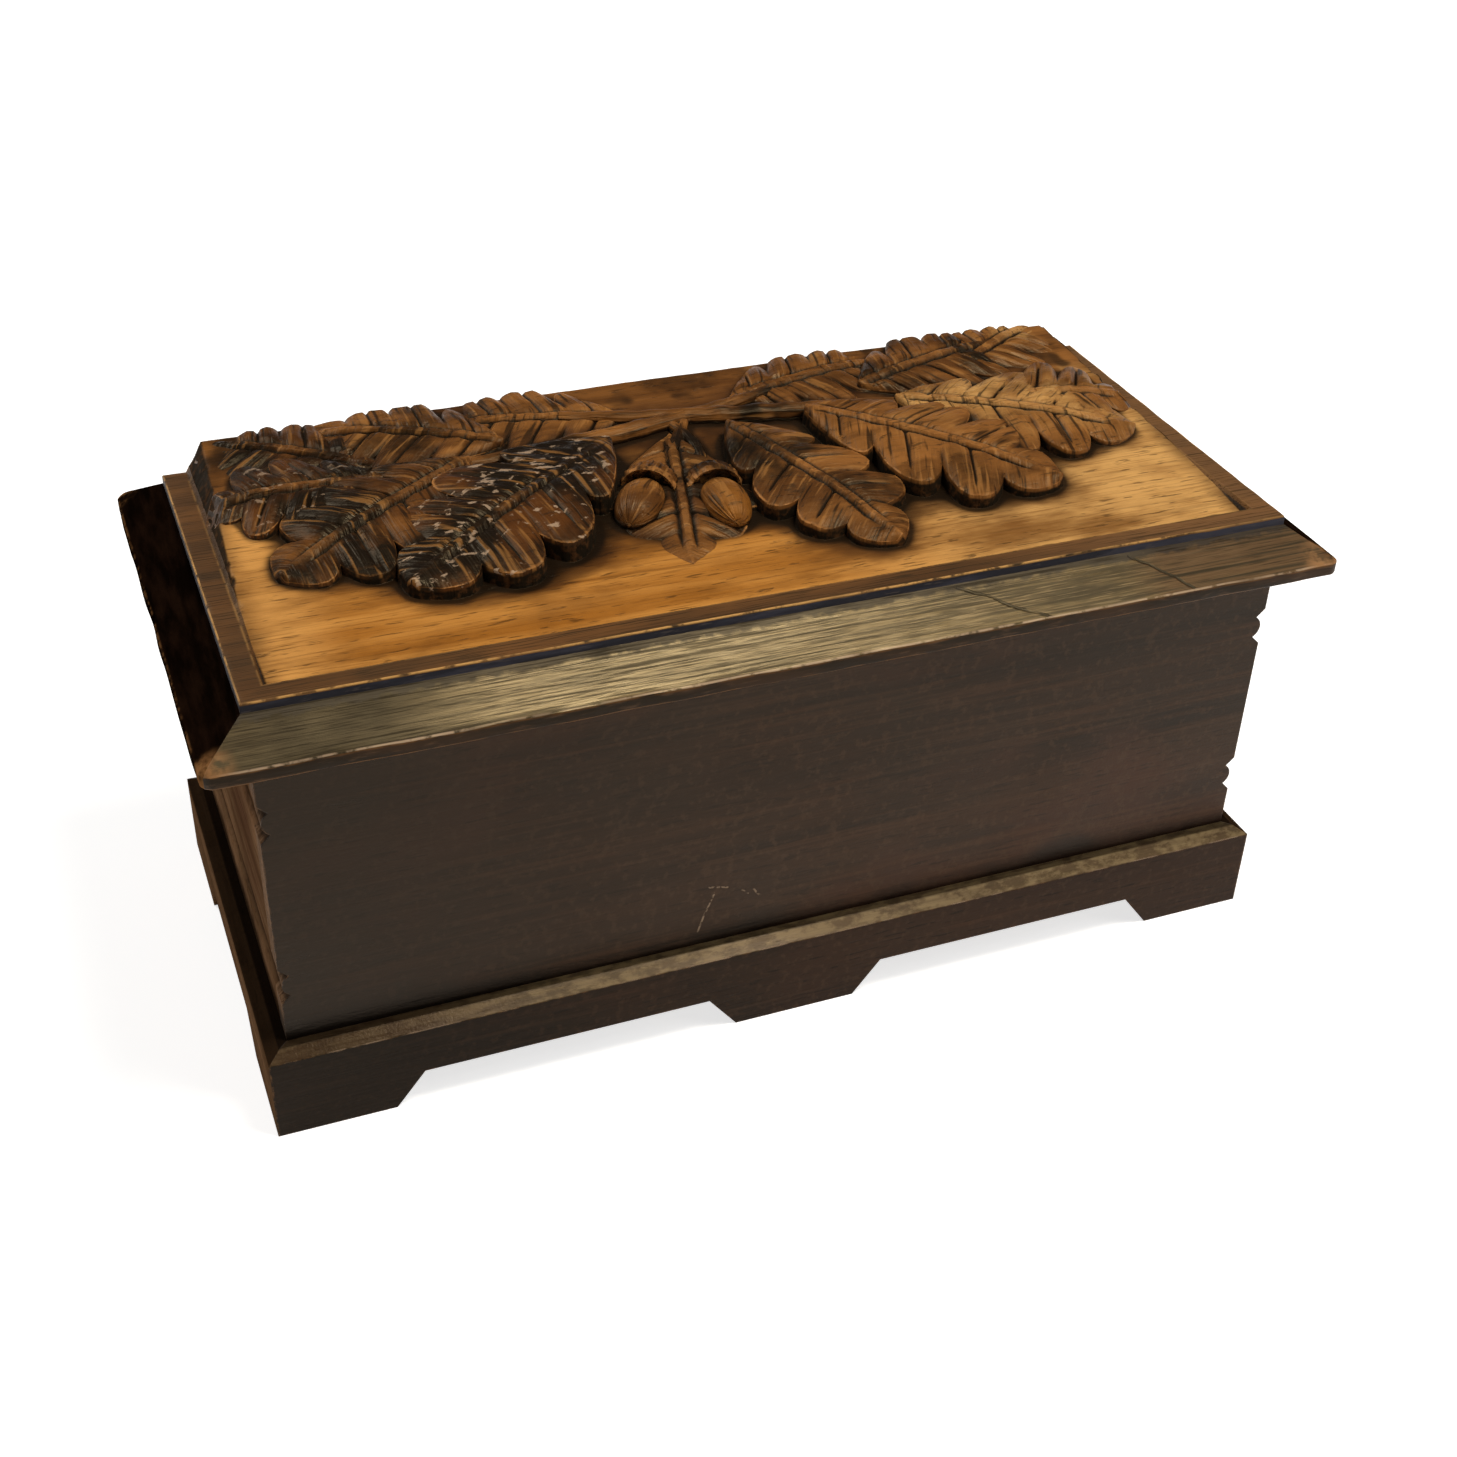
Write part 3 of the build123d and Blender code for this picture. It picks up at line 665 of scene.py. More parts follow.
# Node helpers
class Nodes:
    """Short ways to add nodes to a tree. A number or colour is set on a socket, an output is linked."""

    def __init__(self, tree):
        self.tree = tree

    def put(self, socket, value):
        if isinstance(value, bpy.types.NodeSocket):
            self.tree.links.new(value, socket)
        elif isinstance(value, (tuple, list)) and len(value) == 3 and socket.type == "RGBA":
            socket.default_value = (*value, 1)
        else:
            socket.default_value = value

    def fill(self, node, **inputs):
        for name, value in inputs.items():
            self.put(node.inputs[name.replace("_", " ")], value)

    def add(self, kind, *values, **named):
        """A new node, with the values on its first inputs and on those named with a capital."""
        made = self.tree.nodes.new("ShaderNode" + kind)
        for name, value in named.items():
            if name.islower():
                setattr(made, name, value)
        for socket, value in zip(made.inputs, values):
            self.put(socket, value)
        self.fill(made, **{name: value for name, value in named.items() if not name.islower()})
        return made

    def math(self, operation, a, b=0.0, clamp=False):
        return self.add("Math", a, b, operation=operation, use_clamp=clamp).outputs[0]

    def vector(self, operation, *values, **named):
        return self.add("VectorMath", *values, operation=operation, **named).outputs

    def plus(self, total, *others, clamp=False):
        for other in others:
            total = self.math("ADD", total, other, clamp)
        return total

    def times(self, product, *others, clamp=False):
        for other in others:
            product = self.math("MULTIPLY", product, other, clamp)
        return product

    def most(self, highest, *others):
        for other in others:
            highest = self.math("MAXIMUM", highest, other)
        return highest

    def size(self, value):
        return self.math("ABSOLUTE", value)

    def below(self, a, b):
        return self.math("LESS_THAN", a, b)

    def span(self, value, low, high, to_low=0.0, to_high=1.0):
        """Goes smoothly from to_low to to_high as the value goes from low to high."""
        made = self.add("MapRange", value, low, high, to_low, to_high, interpolation_type="SMOOTHSTEP")
        return made.outputs[0]


class Shader(Nodes):
    """One material and its looks. Lengths are in millimetres, the scales of noise per metre."""

    def __init__(self, name):
        self.material = bpy.data.materials.new(name)
        self.material.use_nodes = True
        super().__init__(self.material.node_tree)
        self.surface = self.tree.nodes["Principled BSDF"]
        self.place = self.add("TexCoord").outputs["Object"]

    def axes(self):
        """X, y and z in millimetres."""
        return [self.times(output, 1 / MM) for output in self.add("SeparateXYZ", self.place).outputs]

    def attribute(self, name):
        return self.add("Attribute", attribute_name=name).outputs["Fac"]

    def noise(self, scale, detail=3, roughness=0.55, distortion=0, place=None):
        return self.add("TexNoise", place or self.place, Scale=scale, Detail=detail, Roughness=roughness,
                        Distortion=distortion).outputs["Fac"]

    def drawn(self, *scale, **settings):
        """Noise with its own scale along each axis, so that it is drawn out along the lowest."""
        return self.noise(1, place=self.add("Mapping", self.place, Scale=scale).outputs[0], **settings)

    def grain(self, along, across, lengthwise, **settings):
        """Noise drawn out along the grain, which runs along x or y."""
        scale = (along, across, across) if lengthwise else (across, along, across)
        return self.drawn(*scale, **settings)

    def mix(self, share, a, b):
        made = self.add("Mix", share, data_type="RGBA")
        self.put(made.inputs[6], a)
        self.put(made.inputs[7], b)
        return made.outputs[2]

    def blend(self, mask, low, high, colours):
        """From one colour to the other as the mask goes from low to high."""
        return self.mix(self.span(mask, low, high), *colours)

    def washed(self, colour, *washes):
        """Tints laid over the colour in turn, each up to its share, as its mask goes from low to high."""
        for tint, mask, low, high, share in washes:
            colour = self.mix(self.span(mask, low, high, 0, share), colour, tint)
        return colour

    def tinted(self, colour, tint, mask, share):
        return self.mix(self.times(mask, share), colour, tint)

    def mark(self, start, end, width, wobble):
        """Near 1 along the line from start to end, and 0 further off than width."""
        shift = self.add("TexNoise", self.place, Scale=WOBBLE_SCALE).outputs["Color"]
        moved = self.vector("MULTIPLY_ADD", shift, 3 * (wobble * MM,), self.place)[0]
        start, end = ((Vector(point) + Vector(3 * (0.5 * wobble,))) * MM for point in (start, end))
        along = end - start
        away = self.vector("SUBTRACT", moved, start)[0]
        share = self.vector("DOT_PRODUCT", away, along / along.length_squared)["Value"]
        nearest = self.vector("SCALE", along, Scale=self.plus(share, 0.0, clamp=True))[0]
        gap = self.vector("DISTANCE", away, nearest)["Value"]
        return self.span(gap, width * MM, 0.3 * width * MM)

    def marks(self, lines, width, wobble=0.0):
        return self.most(0.0, *(self.mark(start, end, width, wobble) for start, end in lines))

    def rounded(self, radius):
        return self.add("Bevel", samples=4, Radius=radius * MM).outputs[0]

    def edges(self, radius, full=0.82):
        """Near 1 at an edge, from how far the rounded normal turns from the true one."""
        true = self.add("NewGeometry").outputs["Normal"]
        return self.span(self.vector("DOT_PRODUCT", self.rounded(radius), true)["Value"], 0.995, full)

    def bump(self, height, distance, strength, radius):
        """The normal over rounded edges, roughened by the height."""
        return self.add("Bump", Strength=strength, Distance=distance * MM, Height=height,
                        Normal=self.rounded(radius)).outputs[0]

    def finish(self, colour, roughness, normal, gloss=0.5, tint=(1, 1, 1), metallic=0):
        self.fill(self.surface, Base_Color=colour, Roughness=roughness, Normal=normal, Metallic=metallic,
                  Specular_IOR_Level=gloss, Specular_Tint=tint)
        return self.material


# Colours that several woods share, from the darkest
NEAR_BLACK = (0.002, 0.0018, 0.0018)
SOOT = (0.006, 0.0037, 0.0022)
PITCH = (0.010, 0.0055, 0.0028)
UMBER = (0.020, 0.009, 0.004)
DULL_BROWN = (0.050, 0.025, 0.0115)
RUSSET = (0.076, 0.027, 0.008)
CHESTNUT = (0.087, 0.035, 0.010)
FADED = (0.084, 0.045, 0.025)
WORN_STAIN = (0.30, 0.14, 0.052)
RUBBED_AMBER = (0.50, 0.215, 0.060)
BARE_WOOD = (0.46, 0.32, 0.21)

# Each wood's colours: dark and light, or one. The end woods' tan and the ledge's pale colour also carry a
# painted sheen.
LONG_STAIN, LONG_RED = [(0.008, 0.0042, 0.0025), (0.040, 0.019, 0.010)], (0.066, 0.025, 0.014)
# the end woods' tan is their stain, made paler by a painted sheen
END_STAIN_AND_SHEEN = [(0.120, 0.064, 0.031), (0.290, 0.160, 0.083)]
PLINTH_STAIN = [(0.007, 0.004, 0.0025), (0.030, 0.0165, 0.0090)]
LEDGE_SHEEN_AND_WEAR = (0.25, 0.180, 0.090)
RAW_WALL, RAW_PORE = [(0.30, 0.18, 0.10), (0.46, 0.31, 0.18)], (0.16, 0.09, 0.05)
BEVEL_STAIN, BEVEL_RUBBED = [(0.016, 0.009, 0.003), (0.060, 0.034, 0.011)], (0.18, 0.12, 0.048)
BEVEL_HAIR, BEVEL_TOP_DARK = (0.30, 0.21, 0.10), (0.014, 0.013, 0.017)
RIM_STAIN, RIM_LIGHT = [(0.055, 0.024, 0.010), (0.16, 0.066, 0.020)], (0.20, 0.095, 0.036)
RIM_RUBBED = (0.62, 0.33, 0.10)
STEP_COLOURS = [(0.012, 0.011, 0.015), (0.042, 0.041, 0.056), (0.085, 0.065, 0.055)]  # base, bloom, light
EDGE_COLOURS = [(0.012, 0.006, 0.003), (0.048, 0.025, 0.014), (0.12, 0.065, 0.035)]
END_BEVEL = [(0.003, 0.0015, 0.0008), (0.012, 0.0055, 0.003)]
AMBER, AMBER_DEEP = [(0.36, 0.130, 0.016), (0.62, 0.280, 0.060)], (0.19, 0.067, 0.0095)
AMBER_PALE, AMBER_LEFT = (0.68, 0.385, 0.130), (0.72, 0.36, 0.10)
LEAF_BROWN, LEAF_DARK = [(0.10, 0.036, 0.008), (0.30, 0.120, 0.028)], [PITCH, (0.10, 0.032, 0.006)]
TOOL_RIDGE, CUT_SIDE = (0.40, 0.180, 0.048), [SOOT, (0.060, 0.024, 0.008)]

# Lines on the wood, each from one end to the other, in millimetres
BEVEL_CRACKS = [((40.7, -59, 125), (62.5, -70, 118)), ((90.4, -59, 125), (105.5, -69.5, 118.3))]
WORN_CORNERS = [((sx * LID_X, sy * LID_Y, 114), (sx * top_x, sy * 68.5, 119))
                for sx, sy, top_x in ((-1, -1, 149), (-1, 1, 149), (1, -1, 146), (1, 1, 149))]
WALL_SCRATCHES = [((x0, -WALL_SIDE, z0), (x1, -WALL_SIDE, z1)) for x0, z0, x1, z1 in (
    (-24.6, 45.2, -18.9, 44.0), (-22.5, 42.9, -24.9, 37.1), (-24.9, 37.1, -27.4, 30.8),
    (-14.8, 41.9, -13.0, 40.3), (-11.3, 41.3, -9.5, 38.7))]
WOBBLE_SCALE = 150
DULL_FROM, DULL_TO = 85, 100  # where the bevel turns dull, toward its right end


# Materials
def stained_wood(name, lengthwise, hollow, gloss, stain):
    """Dark stain under varnish, pores, faint red streaks, rubbed edges, and raw wood inside the walls."""
    s = Shader(name)
    x, y, z = s.axes()
    figure = s.grain(5, 60, lengthwise, detail=4, distortion=0.6)
    streak = s.grain(14, 520, lengthwise)
    pores = s.grain(110, 1100, lengthwise, detail=2, roughness=0.6)
    clouds = s.drawn(9, 9, 16)
    blotch = s.noise(24, detail=4)
    fine = s.noise(420)
    redder = s.times(s.span(streak, 0.54, 0.72, 0, 0.4), s.span(blotch, 0.4, 0.62))
    redder = s.plus(s.span(clouds, 0.44, 0.60, 0, 0.6 if hollow else 0.25), redder)
    colour = s.mix(redder, s.blend(figure, 0.3, 0.7, stain), LONG_RED)
    colour = s.washed(colour,
                      (tuple(0.35 * c for c in stain[0]), pores, 0.42, 0.32, 0.6 if lengthwise else 0.4),
                      (FADED, fine, 0.50, 0.70, 0.45),
                      (SOOT, blotch, 0.50, 0.34, 0.3),
                      (FADED, streak, 0.50, 0.70, 0.35))
    # painted shade: the long walls and plinth rails darken toward the left end
    if lengthwise:
        colour = s.washed(colour, (SOOT, x, 0, -140, 0.7))
    rough = s.plus(s.span(blotch, 0.3, 0.7, 0.28, 0.42), s.span(streak, 0.3, 0.7, -0.03, 0.05))
    colour = s.tinted(colour, WORN_STAIN, s.times(s.edges(0.7), s.span(fine, 0.40, 0.62)), 0.7)
    if hollow:
        colour, rough = wall_ends(s, colour, rough, lengthwise)
    elif lengthwise:
        colour, rough = ledge_sheen_and_nicks(s, colour, rough, x, z, streak)
    else:
        colour = s.washed(colour, (SOOT, z, PLINTH_FACE - 0.5, PLINTH_FACE + 0.2, 0.85))
    # darker along the foot of the walls, fading upward from the plinth's top
    drift = s.plus(z, s.span(blotch, 0.3, 0.7, -3, 3))
    above = s.span(z, PLINTH_TOP - 0.3, PLINTH_TOP + 0.1)
    colour = s.tinted(colour, NEAR_BLACK, s.times(s.span(drift, PLINTH_TOP + 8.5, PLINTH_TOP + 1), above), 0.8)
    if hollow:
        inner = s.times(s.below(s.size(x), WALL_END - WALL_THICK + 1),
                        s.below(s.size(y), WALL_SIDE - WALL_THICK + 1), s.below(z, LID_UNDER - 0.3))
        raw = s.washed(s.blend(figure, 0.25, 0.75, RAW_WALL), (RAW_PORE, pores, 0.45, 0.32, 0.5))
        colour, rough = s.mix(inner, colour, raw), s.plus(rough, s.times(inner, 0.25))
    height = s.plus(s.times(pores, 0.4), s.times(streak, 0.2), s.times(s.noise(1300, detail=1), 0.3))
    return s.finish(colour, rough, s.bump(height, 0.2, 0.7, 0.5), gloss, (1, 0.78, 0.58))


def wall_ends(s, colour, rough, lengthwise):
    """The dull ends with painted shade in their grooves, the long panels' tan end grain, and the back's
    scratches.
    """
    x, y, z = s.axes()
    out = s.size(x)
    ends = s.times(s.below(s.size(y), WALL_SIDE - 0.2), s.below(z, LID_UNDER - 0.3),
                   s.below(WALL_END - GROOVE - 0.4, out))
    if lengthwise:
        # the long panels' end grain takes the end woods' tan: stain with a painted sheen
        tan = s.blend(s.drawn(2, 700, 60, distortion=0.8), 0.35, 0.62, END_STAIN_AND_SHEEN)
        tan = s.washed(tan, (UMBER, s.noise(1100, detail=2), 0.46, 0.36, 0.6))
        scratches = s.times(s.marks(WALL_SCRATCHES, 0.4, 1.0), s.span(s.noise(900), 0.40, 0.56))
        colour = s.tinted(s.tinted(colour, tan, ends, 0.85), BARE_WOOD, scratches, 0.7)
    # painted shade in the grooves and at the panels' ends behind the outer face, darker further in
    darkening = s.times(ends, s.span(out, WALL_END - 0.3, WALL_END - 1.5, 0, 0.75))
    return s.mix(darkening, colour, SOOT), s.plus(rough, s.times(ends, 0.7), clamp=True)


def ledge_sheen_and_nicks(s, colour, rough, x, z, streak):
    """The long rails' bevel: a mottled painted sheen, partly rubbed wear, fading to painted shade toward the
    left, and nicked along its lower edge.
    """
    ledge = s.span(z, PLINTH_FACE - 0.2, PLINTH_FACE + 0.2)
    mottle = s.drawn(150, 260, 260, detail=5, roughness=0.65)
    pale = s.times(s.span(streak, 0.3, 0.6, 0.55), s.span(mottle, 0.40, 0.58, 0.35))
    # the ledge's pale colour is a painted sheen and partly rubbed wear; it gives way to painted shade toward
    # the left end
    colour = s.tinted(colour, LEDGE_SHEEN_AND_WEAR, ledge, pale)
    colour = s.tinted(colour, DULL_BROWN, ledge, s.span(x, -60, -110, 0, 0.75))
    nicks = s.times(s.edges(0.5, 0.94), s.span(z, PLINTH_FACE - 0.9, PLINTH_FACE - 0.5),
                    s.span(z, PLINTH_FACE + 0.7, PLINTH_FACE + 0.3),
                    s.span(s.noise(110, detail=5), 0.44, 0.56))
    return s.mix(nicks, colour, BARE_WOOD), s.plus(rough, s.times(ledge, -0.06))


def with_worn_corners(s, colour, width, low, high):
    corners = s.times(s.marks(WORN_CORNERS, width), s.span(s.noise(160, detail=4), low, high))
    return s.mix(corners, colour, WORN_STAIN)


def border_wood():
    """Rim and long bevels: dark stain, worn pale along the grain, under a varnish that takes the light."""
    s = Shader("lid_border_wood")
    x, _, z = s.axes()
    figure = s.drawn(5, 70, 70, detail=4, distortion=0.6)
    streak = s.drawn(14, 1500, 1500, detail=4, roughness=0.6)
    hairs = s.drawn(90, 2600, 2600, detail=2)
    blotch = s.noise(18, detail=4)
    patches = s.drawn(30, 160, 160, detail=4)
    fine = s.noise(300, detail=4)
    bevel = s.washed(s.blend(figure, 0.3, 0.7, BEVEL_STAIN),
                     (BEVEL_RUBBED, streak, 0.46, 0.62, 0.75),
                     (BEVEL_RUBBED, patches, 0.50, 0.66, 0.55),
                     (PITCH, patches, 0.46, 0.30, 0.75),
                     (BEVEL_HAIR, hairs, 0.54, 0.66, 0.6),
                     (RUSSET, x, DULL_FROM, DULL_TO, 0.8))
    bevel = s.tinted(bevel, PITCH, s.span(x, DULL_FROM, DULL_TO), s.span(streak, 0.50, 0.40, 0, 0.8))
    smudge = s.times(s.span(x, -76, -112), s.span(blotch, 0.3, 0.6, 0.55))
    cracks = s.marks(BEVEL_CRACKS, 0.6, 2.0)
    bevel = s.mix(cracks, s.mix(smudge, bevel, SOOT), NEAR_BLACK)
    # darker at the top of the bevel, just under the step
    darkening = s.span(s.plus(z, s.span(fine, 0.3, 0.7, -0.4, 0.4)), BEVEL_TOP - 1.5, BEVEL_TOP - 0.6)
    bevel = s.tinted(bevel, BEVEL_TOP_DARK, darkening, 0.9)
    rim = s.washed(s.blend(figure, 0.3, 0.7, RIM_STAIN),
                   (DULL_BROWN, blotch, 0.42, 0.65, 0.7), (RIM_LIGHT, x, 30, 100, 0.5))
    high = s.span(z, RIM_TOP - 1.3, RIM_TOP - 0.9)
    dark_lines = s.most(s.span(streak, 0.45, 0.35), s.span(hairs, 0.46, 0.34, 0, 0.9))
    colour = s.tinted(s.mix(high, bevel, rim), SOOT, dark_lines, 0.75)
    rubbed = s.times(s.span(s.attribute("worn"), 0.15, 0.6), s.span(fine, 0.34, 0.52),
                     s.span(blotch, 0.34, 0.54, 0.25))
    colour = s.tinted(colour, s.mix(high, BARE_WOOD, RIM_RUBBED), rubbed, 0.95)
    colour = with_worn_corners(s, colour, 9, 0.36, 0.56)
    height = s.plus(s.times(hairs, 0.3), s.times(streak, 0.7), s.times(cracks, -1))
    rough = s.plus(s.span(patches, 0.3, 0.7, 0.34, 0.25), s.times(dark_lines, 0.22),
                   s.times(s.most(smudge, darkening), 0.2), s.span(x, DULL_FROM, DULL_TO, 0, 0.14))
    return s.finish(colour, rough, s.bump(height, 0.16, 0.7, 0.3), 0.5, (1, 0.80, 0.46))


def band_wood(name, base, bloom, light, tint):
    """A narrow upright band along the lid: its edge, or the step under the rim."""
    s = Shader(name)
    blotch = s.drawn(30, 200, 200, detail=4)
    fine = s.drawn(150, 900, 900)
    colour = s.washed(s.blend(blotch, 0.42, 0.66, (base, bloom)), (light, fine, 0.54, 0.72, 0.55))
    rubbed = s.times(s.attribute("worn"), s.span(fine, 0.34, 0.56), clamp=True)
    colour = s.tinted(colour, RUBBED_AMBER, rubbed, 0.8)
    return s.finish(colour, s.span(blotch, 0.3, 0.7, 0.38, 0.55), s.bump(fine, 0.2, 0.6, 0.3), 0.16, tint)


def border_end_wood():
    """End grain, which drank the stain and is nearly black."""
    s = Shader("lid_border_end_wood")
    streak = s.drawn(300, 60, 300, detail=4, roughness=0.6)
    fine = s.noise(300, detail=4)
    rubbed = s.times(s.attribute("worn"), s.span(fine, 0.42, 0.6), clamp=True)
    colour = s.tinted(s.blend(streak, 0.35, 0.7, END_BEVEL), WORN_STAIN, rubbed, 0.6)
    colour = with_worn_corners(s, colour, 8, 0.38, 0.58)
    return s.finish(colour, s.span(fine, 0.3, 0.7, 0.22, 0.32), s.bump(streak, 0.1, 0.5, 0.3), 0.0)


def carved_wood():
    """The carved field: amber ground, brown and blackish leaves, tool strokes, painted shade in the hollows
    and on the cut sides, worn edges.
    """
    s = Shader("carved_field_wood")
    x, y, _ = s.axes()
    names = ("cavity", "shade", "tone", "steep", "cut", "worn", "along")
    cavity, shade, tone, steep, cut, worn, along = (s.attribute(name) for name in names)
    figure = s.drawn(8, 90, 90, detail=5, distortion=1.0)
    streak = s.drawn(25, 700, 700)
    pores = s.drawn(120, 1100, 1100, detail=2, roughness=0.6)
    blotch = s.noise(38, detail=5)
    fine = s.noise(420, detail=4)
    smudges = s.drawn(14, 40, 40, detail=5, roughness=0.6)
    nicked = s.span(s.drawn(90, 620, 300, roughness=0.6), 0.65, 0.70, 0, 0.55)
    flecks = s.drawn(220, 430, 270, detail=4, roughness=0.6)
    # a gouge leaves strokes across the leaves' length
    tooled = s.add("CombineXYZ", s.times(along, 0.62), s.times(x, 0.055), s.times(y, 0.055)).outputs[0]
    strokes = s.noise(1, detail=2, roughness=0.5, place=tooled)
    on_form = s.span(tone, 0.80, 0.70)
    amber = s.washed(s.blend(figure, 0.3, 0.7, AMBER),
                     (AMBER_PALE, x, 0, 80, 0.85),
                     (AMBER_LEFT, x, -105, -125, 0.7),
                     (AMBER_DEEP, smudges, 0.46, 0.68, 0.75),
                     (AMBER_DEEP, s.drawn(60, 1500, 1500, detail=2), 0.5, 0.7, 0.45))
    toned = s.plus(tone, s.span(blotch, 0.25, 0.75, -0.24, 0.24))
    leaves = s.blend(blotch, 0.42, 0.62, LEAF_DARK), s.blend(figure, 0.3, 0.7, LEAF_BROWN)
    colour = s.mix(s.span(toned, 0.55, 0.95), s.blend(toned, 0.15, 0.5, leaves), amber)
    colour = s.washed(colour, (CHESTNUT, streak, 0.55, 0.75, 0.35))
    beside_rim = s.most(s.span(s.size(x), FIELD_X - 7.2, FIELD_X - 0.2),
                        s.span(y, FIELD_BACK + 3.2, FIELD_BACK - 0.1))
    colour = s.tinted(colour, CHESTNUT, beside_rim, s.span(blotch, 0.3, 0.6, 0.15, 0.75))
    colour = s.tinted(colour, PITCH, s.span(strokes, 0.42, 0.33, 0, 0.8), on_form)
    colour = s.tinted(colour, TOOL_RIDGE, s.span(strokes, 0.56, 0.68, 0, 0.5), on_form)
    # painted shade: the shade attribute darkens the carving where it lies below what is round it, with grimy
    # smudges mixed in; cavity and cut paint shade into small hollows and the veins' V-cuts
    shade_and_smudges = s.plus(shade, s.span(smudges, 0.3, 0.7, -0.8, 0.45))
    colour = s.washed(s.mix(nicked, colour, UMBER),
                      (RUSSET, shade_and_smudges, -0.1, 1.3, 0.75),
                      (PITCH, shade_and_smudges, 0.5, 2.4, 0.9),
                      (PITCH, cavity, 0.15, 0.8, 0.87),
                      (PITCH, cut, 0.3, 0.9, 0.92))
    rubbed = s.times(s.span(worn, 0.25, 0.9), s.span(fine, 0.36, 0.56), s.span(steep, 0.5, 0.1),
                     s.span(blotch, 0.40, 0.60, 0.05, 0.85))
    # the steep cut sides take dark stain and painted shade
    sides, front = s.blend(fine, 0.48, 0.66, CUT_SIDE), s.blend(streak, 0.35, 0.65, (UMBER, CHESTNUT))
    colour = s.washed(s.mix(rubbed, colour, RUBBED_AMBER),
                      (sides, steep, 0.25, 0.8, 0.95),
                      (front, y, FIELD_FRONT - 0.5, FIELD_FRONT - 0.1, 0.85),
                      (UMBER, pores, 0.40, 0.30, 0.6))
    chips = s.times(s.span(flecks, 0.60, 0.65, 0, 0.75), s.span(tone, 0.16, 0.06), s.span(steep, 0.5, 0.2))
    colour = s.mix(chips, colour, BARE_WOOD)
    height = s.plus(s.times(pores, 0.3), s.times(fine, 0.4), s.times(nicked, -0.8),
                    s.times(strokes, on_form, 2.2))
    rough = s.plus(s.span(blotch, 0.3, 0.7, 0.34, 0.48), s.span(steep, 0.25, 0.8, 0, 0.5))
    return s.finish(colour, rough, s.bump(height, 0.5, 0.8, 0.2), 0.25, (1, 0.80, 0.50))


def raw_wood(name, lengthwise, deep, light):
    s = Shader(name)
    figure = s.grain(6, 70, lengthwise, detail=4, distortion=0.8)
    pores = s.grain(80, 1300, lengthwise, detail=2, roughness=0.6)
    blotch = s.noise(25)
    colour = s.washed(s.blend(figure, 0.25, 0.75, (deep, light)),
                      (tuple(0.45 * c for c in deep), pores, 0.43, 0.30, 0.6),
                      (deep, blotch, 0.4, 0.75, 0.35))
    return s.finish(colour, s.span(blotch, 0.3, 0.7, 0.55, 0.7), s.bump(pores, 0.15, 0.6, 0.5), 0.3)


def metal(name, colour, tarnish, rough):
    s = Shader(name)
    blotch = s.noise(260, detail=4)
    brushed = s.drawn(500, 3000, 3000, detail=2)
    normal = s.bump(s.plus(s.times(brushed, 0.5), blotch), 0.04, 0.5, 0.2)
    colour = s.washed(colour, (tarnish, blotch, 0.38, 0.66, 0.75))
    return s.finish(colour, s.span(blotch, 0.3, 0.7, rough, rough + 0.2), normal, metallic=1)


step = band_wood("lid_step_wood", *STEP_COLOURS, (0.9, 0.9, 1))
edge = band_wood("lid_edge_wood", *EDGE_COLOURS, (1, 0.80, 0.55))
inside = raw_wood("inner_raw_wood", True, (0.36, 0.22, 0.12), (0.55, 0.38, 0.23))
blocks = raw_wood("block_raw_wood", False, (0.26, 0.16, 0.09), (0.42, 0.28, 0.16))
brass = metal("aged_brass", (0.62, 0.42, 0.17), (0.20, 0.13, 0.07), 0.30)
steel = metal("pin_steel", (0.42, 0.40, 0.38), (0.16, 0.12, 0.09), 0.35)
long_wall = stained_wood("long_wall_wood", True, True, 0.24, LONG_STAIN)
end_wall = stained_wood("end_wall_wood", False, True, 0.0, END_STAIN_AND_SHEEN)
long_plinth = stained_wood("long_plinth_wood", True, False, 0.11, PLINTH_STAIN)
end_plinth = stained_wood("end_plinth_wood", False, False, 0.0, END_STAIN_AND_SHEEN)

for wood in (border_wood(), carved_wood(), inside, border_end_wood(), step, edge):
    lid.data.materials.append(wood)
lid.data.shade_smooth()
lid.data.set_sharp_from_angle(angle=math.radians(40))

# The other nodes' materials: the first whose word is in the node's name
finishes = (("end_panel", end_wall), ("panel", long_wall), ("left_plinth", end_plinth),
            ("right_plinth", end_plinth), ("plinth", long_plinth), ("bottom", inside),
            ("block", blocks), ("pin", steel), ("", brass))
for name, node in nodes.items():
    if name == "lid_board":
        continue
    for slot in node.material_slots:
        slot.link = "DATA"
    node.data.materials.clear()
    node.data.materials.append(next(finish for word, finish in finishes if word in name))


# Camera, as the photograph was taken: metres and degrees, and the focal length in pixels of the frame's width
YAW, TILT, ROLL = (math.radians(angle) for angle in (22.4275, 34.6327, 1.9144))
CAMERA_AT, FOCAL, FRAME_WIDTH, SENSOR = (-0.17731, -0.43915, 0.3797), 2001.0, 1457, 36
forward = Vector((math.sin(YAW) * math.cos(TILT), math.cos(YAW) * math.cos(TILT), -math.sin(TILT)))
level = Vector((math.cos(YAW), -math.sin(YAW), 0))
over = level.cross(forward)
right = math.cos(ROLL) * level + math.sin(ROLL) * over
up = math.cos(ROLL) * over - math.sin(ROLL) * level
camera = bpy.data.objects.new("camera", bpy.data.cameras.new("camera"))
camera.data.sensor_width = SENSOR
camera.data.lens = FOCAL / FRAME_WIDTH * SENSOR
camera.matrix_world = Matrix.Translation(CAMERA_AT) @ Matrix((right, up, -forward)).transposed().to_4x4()
scene.collection.objects.link(camera)
scene.camera = camera

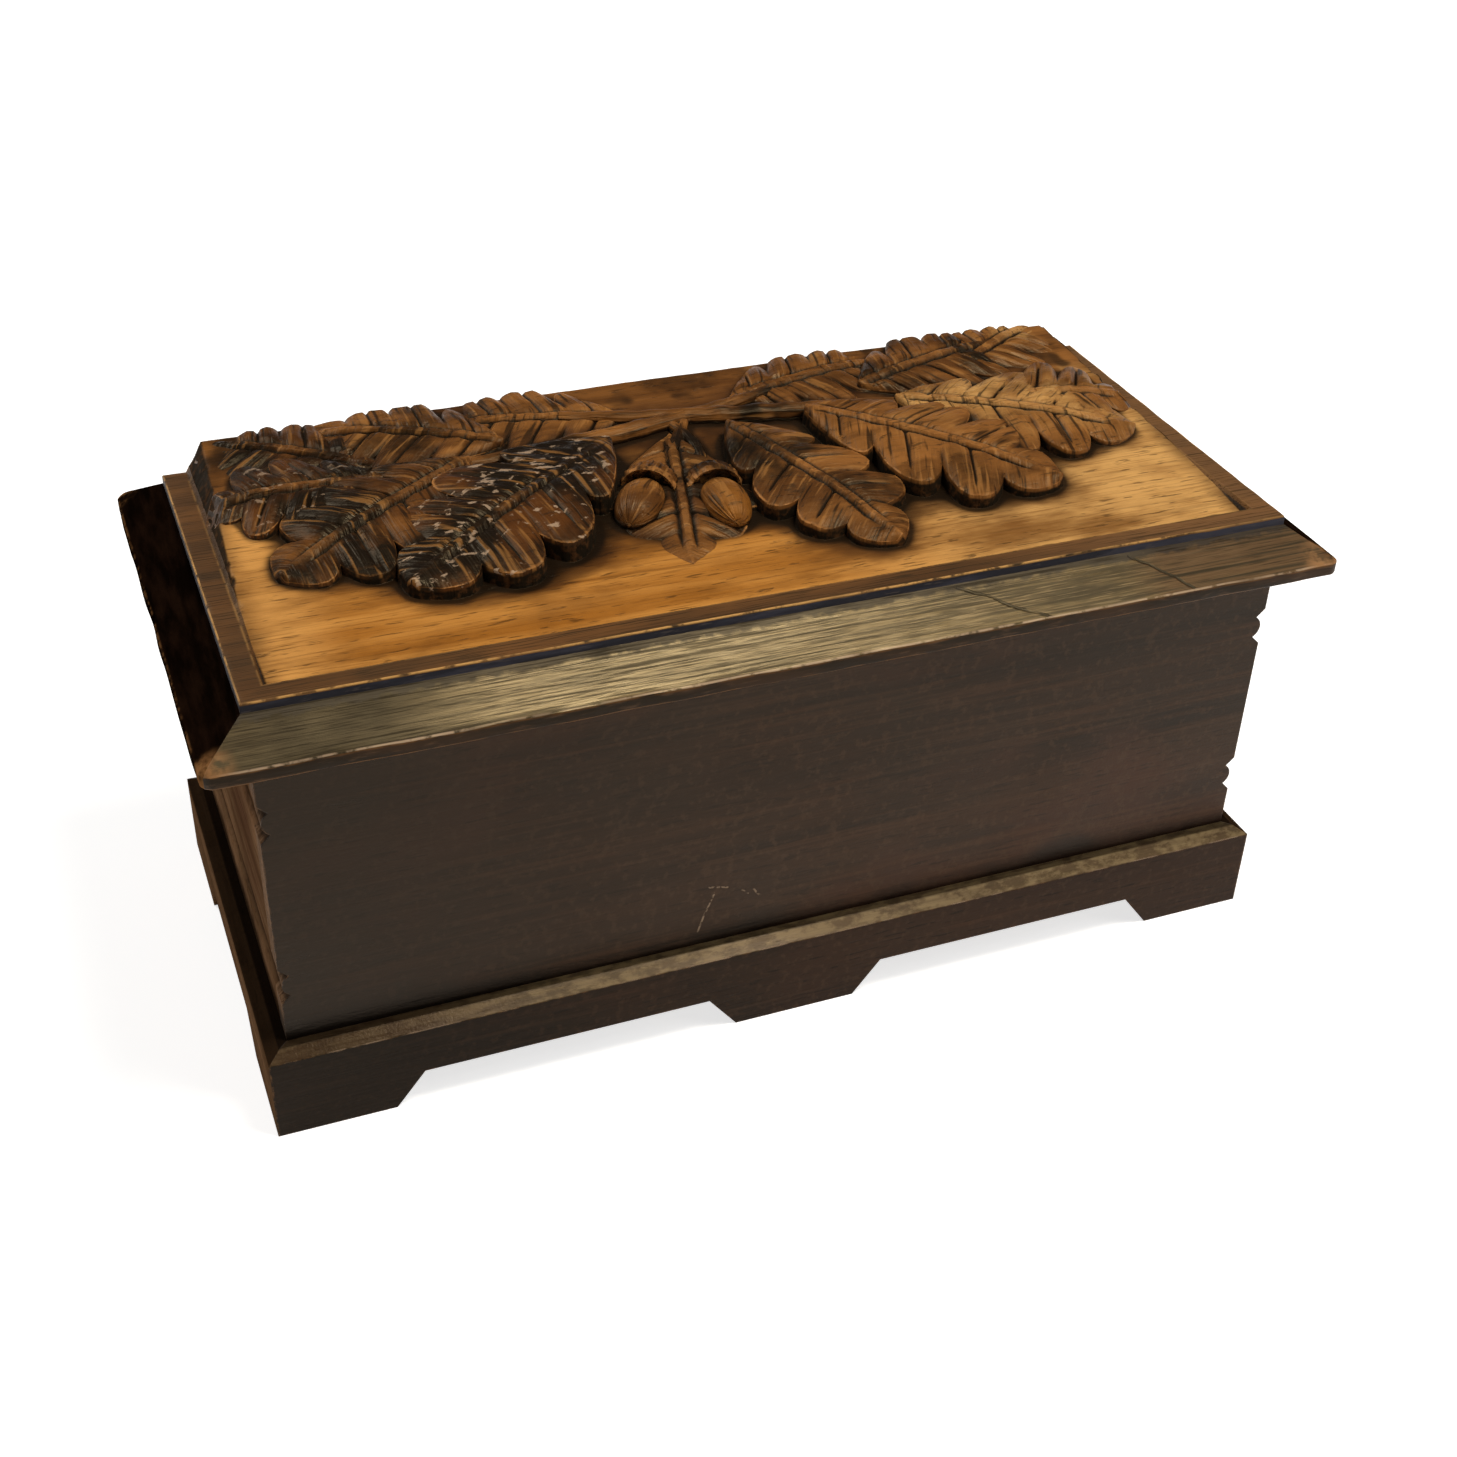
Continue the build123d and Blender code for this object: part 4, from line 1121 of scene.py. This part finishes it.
# Lamps: place, aim, size, watts and colour
LAMPS = {
    "key": ((0.27, -0.27, 1.15), (0, -0.04, 0.1), (0.24, 0.36), 8.0, (1, 0.93, 0.82)),
    "side": ((1.1, -0.8, 1.3), (0, 0, 0.1), (0.8, 0.8), 5.0, (1, 0.97, 0.93)),
    "far_left": ((-1.0, 0.9, 1.5), (0, 0, 0.1), (0.8, 0.8), 12.0, (1, 0.97, 0.93)),
}
for name, (at, aim, size, watts, colour) in LAMPS.items():
    lamp = bpy.data.lights.new(name, "AREA")
    lamp.shape = "RECTANGLE"
    lamp.size, lamp.size_y = size
    lamp.energy = watts
    lamp.color = colour
    stand = bpy.data.objects.new(name, lamp)
    stand.location = at
    stand.rotation_euler = (Vector(aim) - Vector(at)).to_track_quat("-Z", "Y").to_euler()
    scene.collection.objects.link(stand)

# Floor: pale paper that glows to the camera, so that it runs into the white world
FLOOR_HALF, PAPER = 8, 0.82
GLOW_NEAR, GLOW_FAR, GLOW_LEAST = 0.6, 2.6, 0.72
corners = [(sx * FLOOR_HALF, sy * FLOOR_HALF, 0) for sx, sy in ((-1, -1), (1, -1), (1, 1), (-1, 1))]
floor_mesh = bpy.data.meshes.new("floor")
floor_mesh.from_pydata(corners, [], [(0, 1, 2, 3)])
floor = bpy.data.objects.new("floor", floor_mesh)
scene.collection.objects.link(floor)
paper = Shader("pale_floor")
paper.fill(paper.surface, Base_Color=3 * (PAPER,), Roughness=0.9, Specular_IOR_Level=0.1)
rays = paper.add("LightPath").outputs
seen = paper.most(rays["Is Camera Ray"], rays["Is Glossy Ray"], rays["Is Transmission Ray"])
away = paper.vector("LENGTH", paper.place)["Value"]
glow = paper.add("Emission", Strength=paper.times(seen, paper.span(away, GLOW_NEAR, GLOW_FAR, GLOW_LEAST)))
both = paper.add("AddShader", paper.surface.outputs[0], glow.outputs[0])
paper.fill(paper.tree.nodes["Material Output"], Surface=both.outputs[0])
floor_mesh.materials.append(paper.material)

# World: white to the camera; it lights the box from just over the horizon and little from above
DIM_FROM, DIM_TO, DIMMEST = 0.04, 0.12, 0.06
world = bpy.data.worlds.new("studio")
scene.world = world
world.use_nodes = True
sky = Nodes(world.node_tree)
rise = sky.add("SeparateXYZ", sky.add("TexCoord").outputs["Generated"]).outputs["Z"]
lit = sky.span(rise, DIM_FROM, DIM_TO, 1, DIMMEST)
strength = sky.most(lit, sky.add("LightPath").outputs["Is Camera Ray"])
sky.fill(sky.tree.nodes["Background"], Color=(1, 1, 1), Strength=strength)

scene.view_settings.view_transform = "Standard"
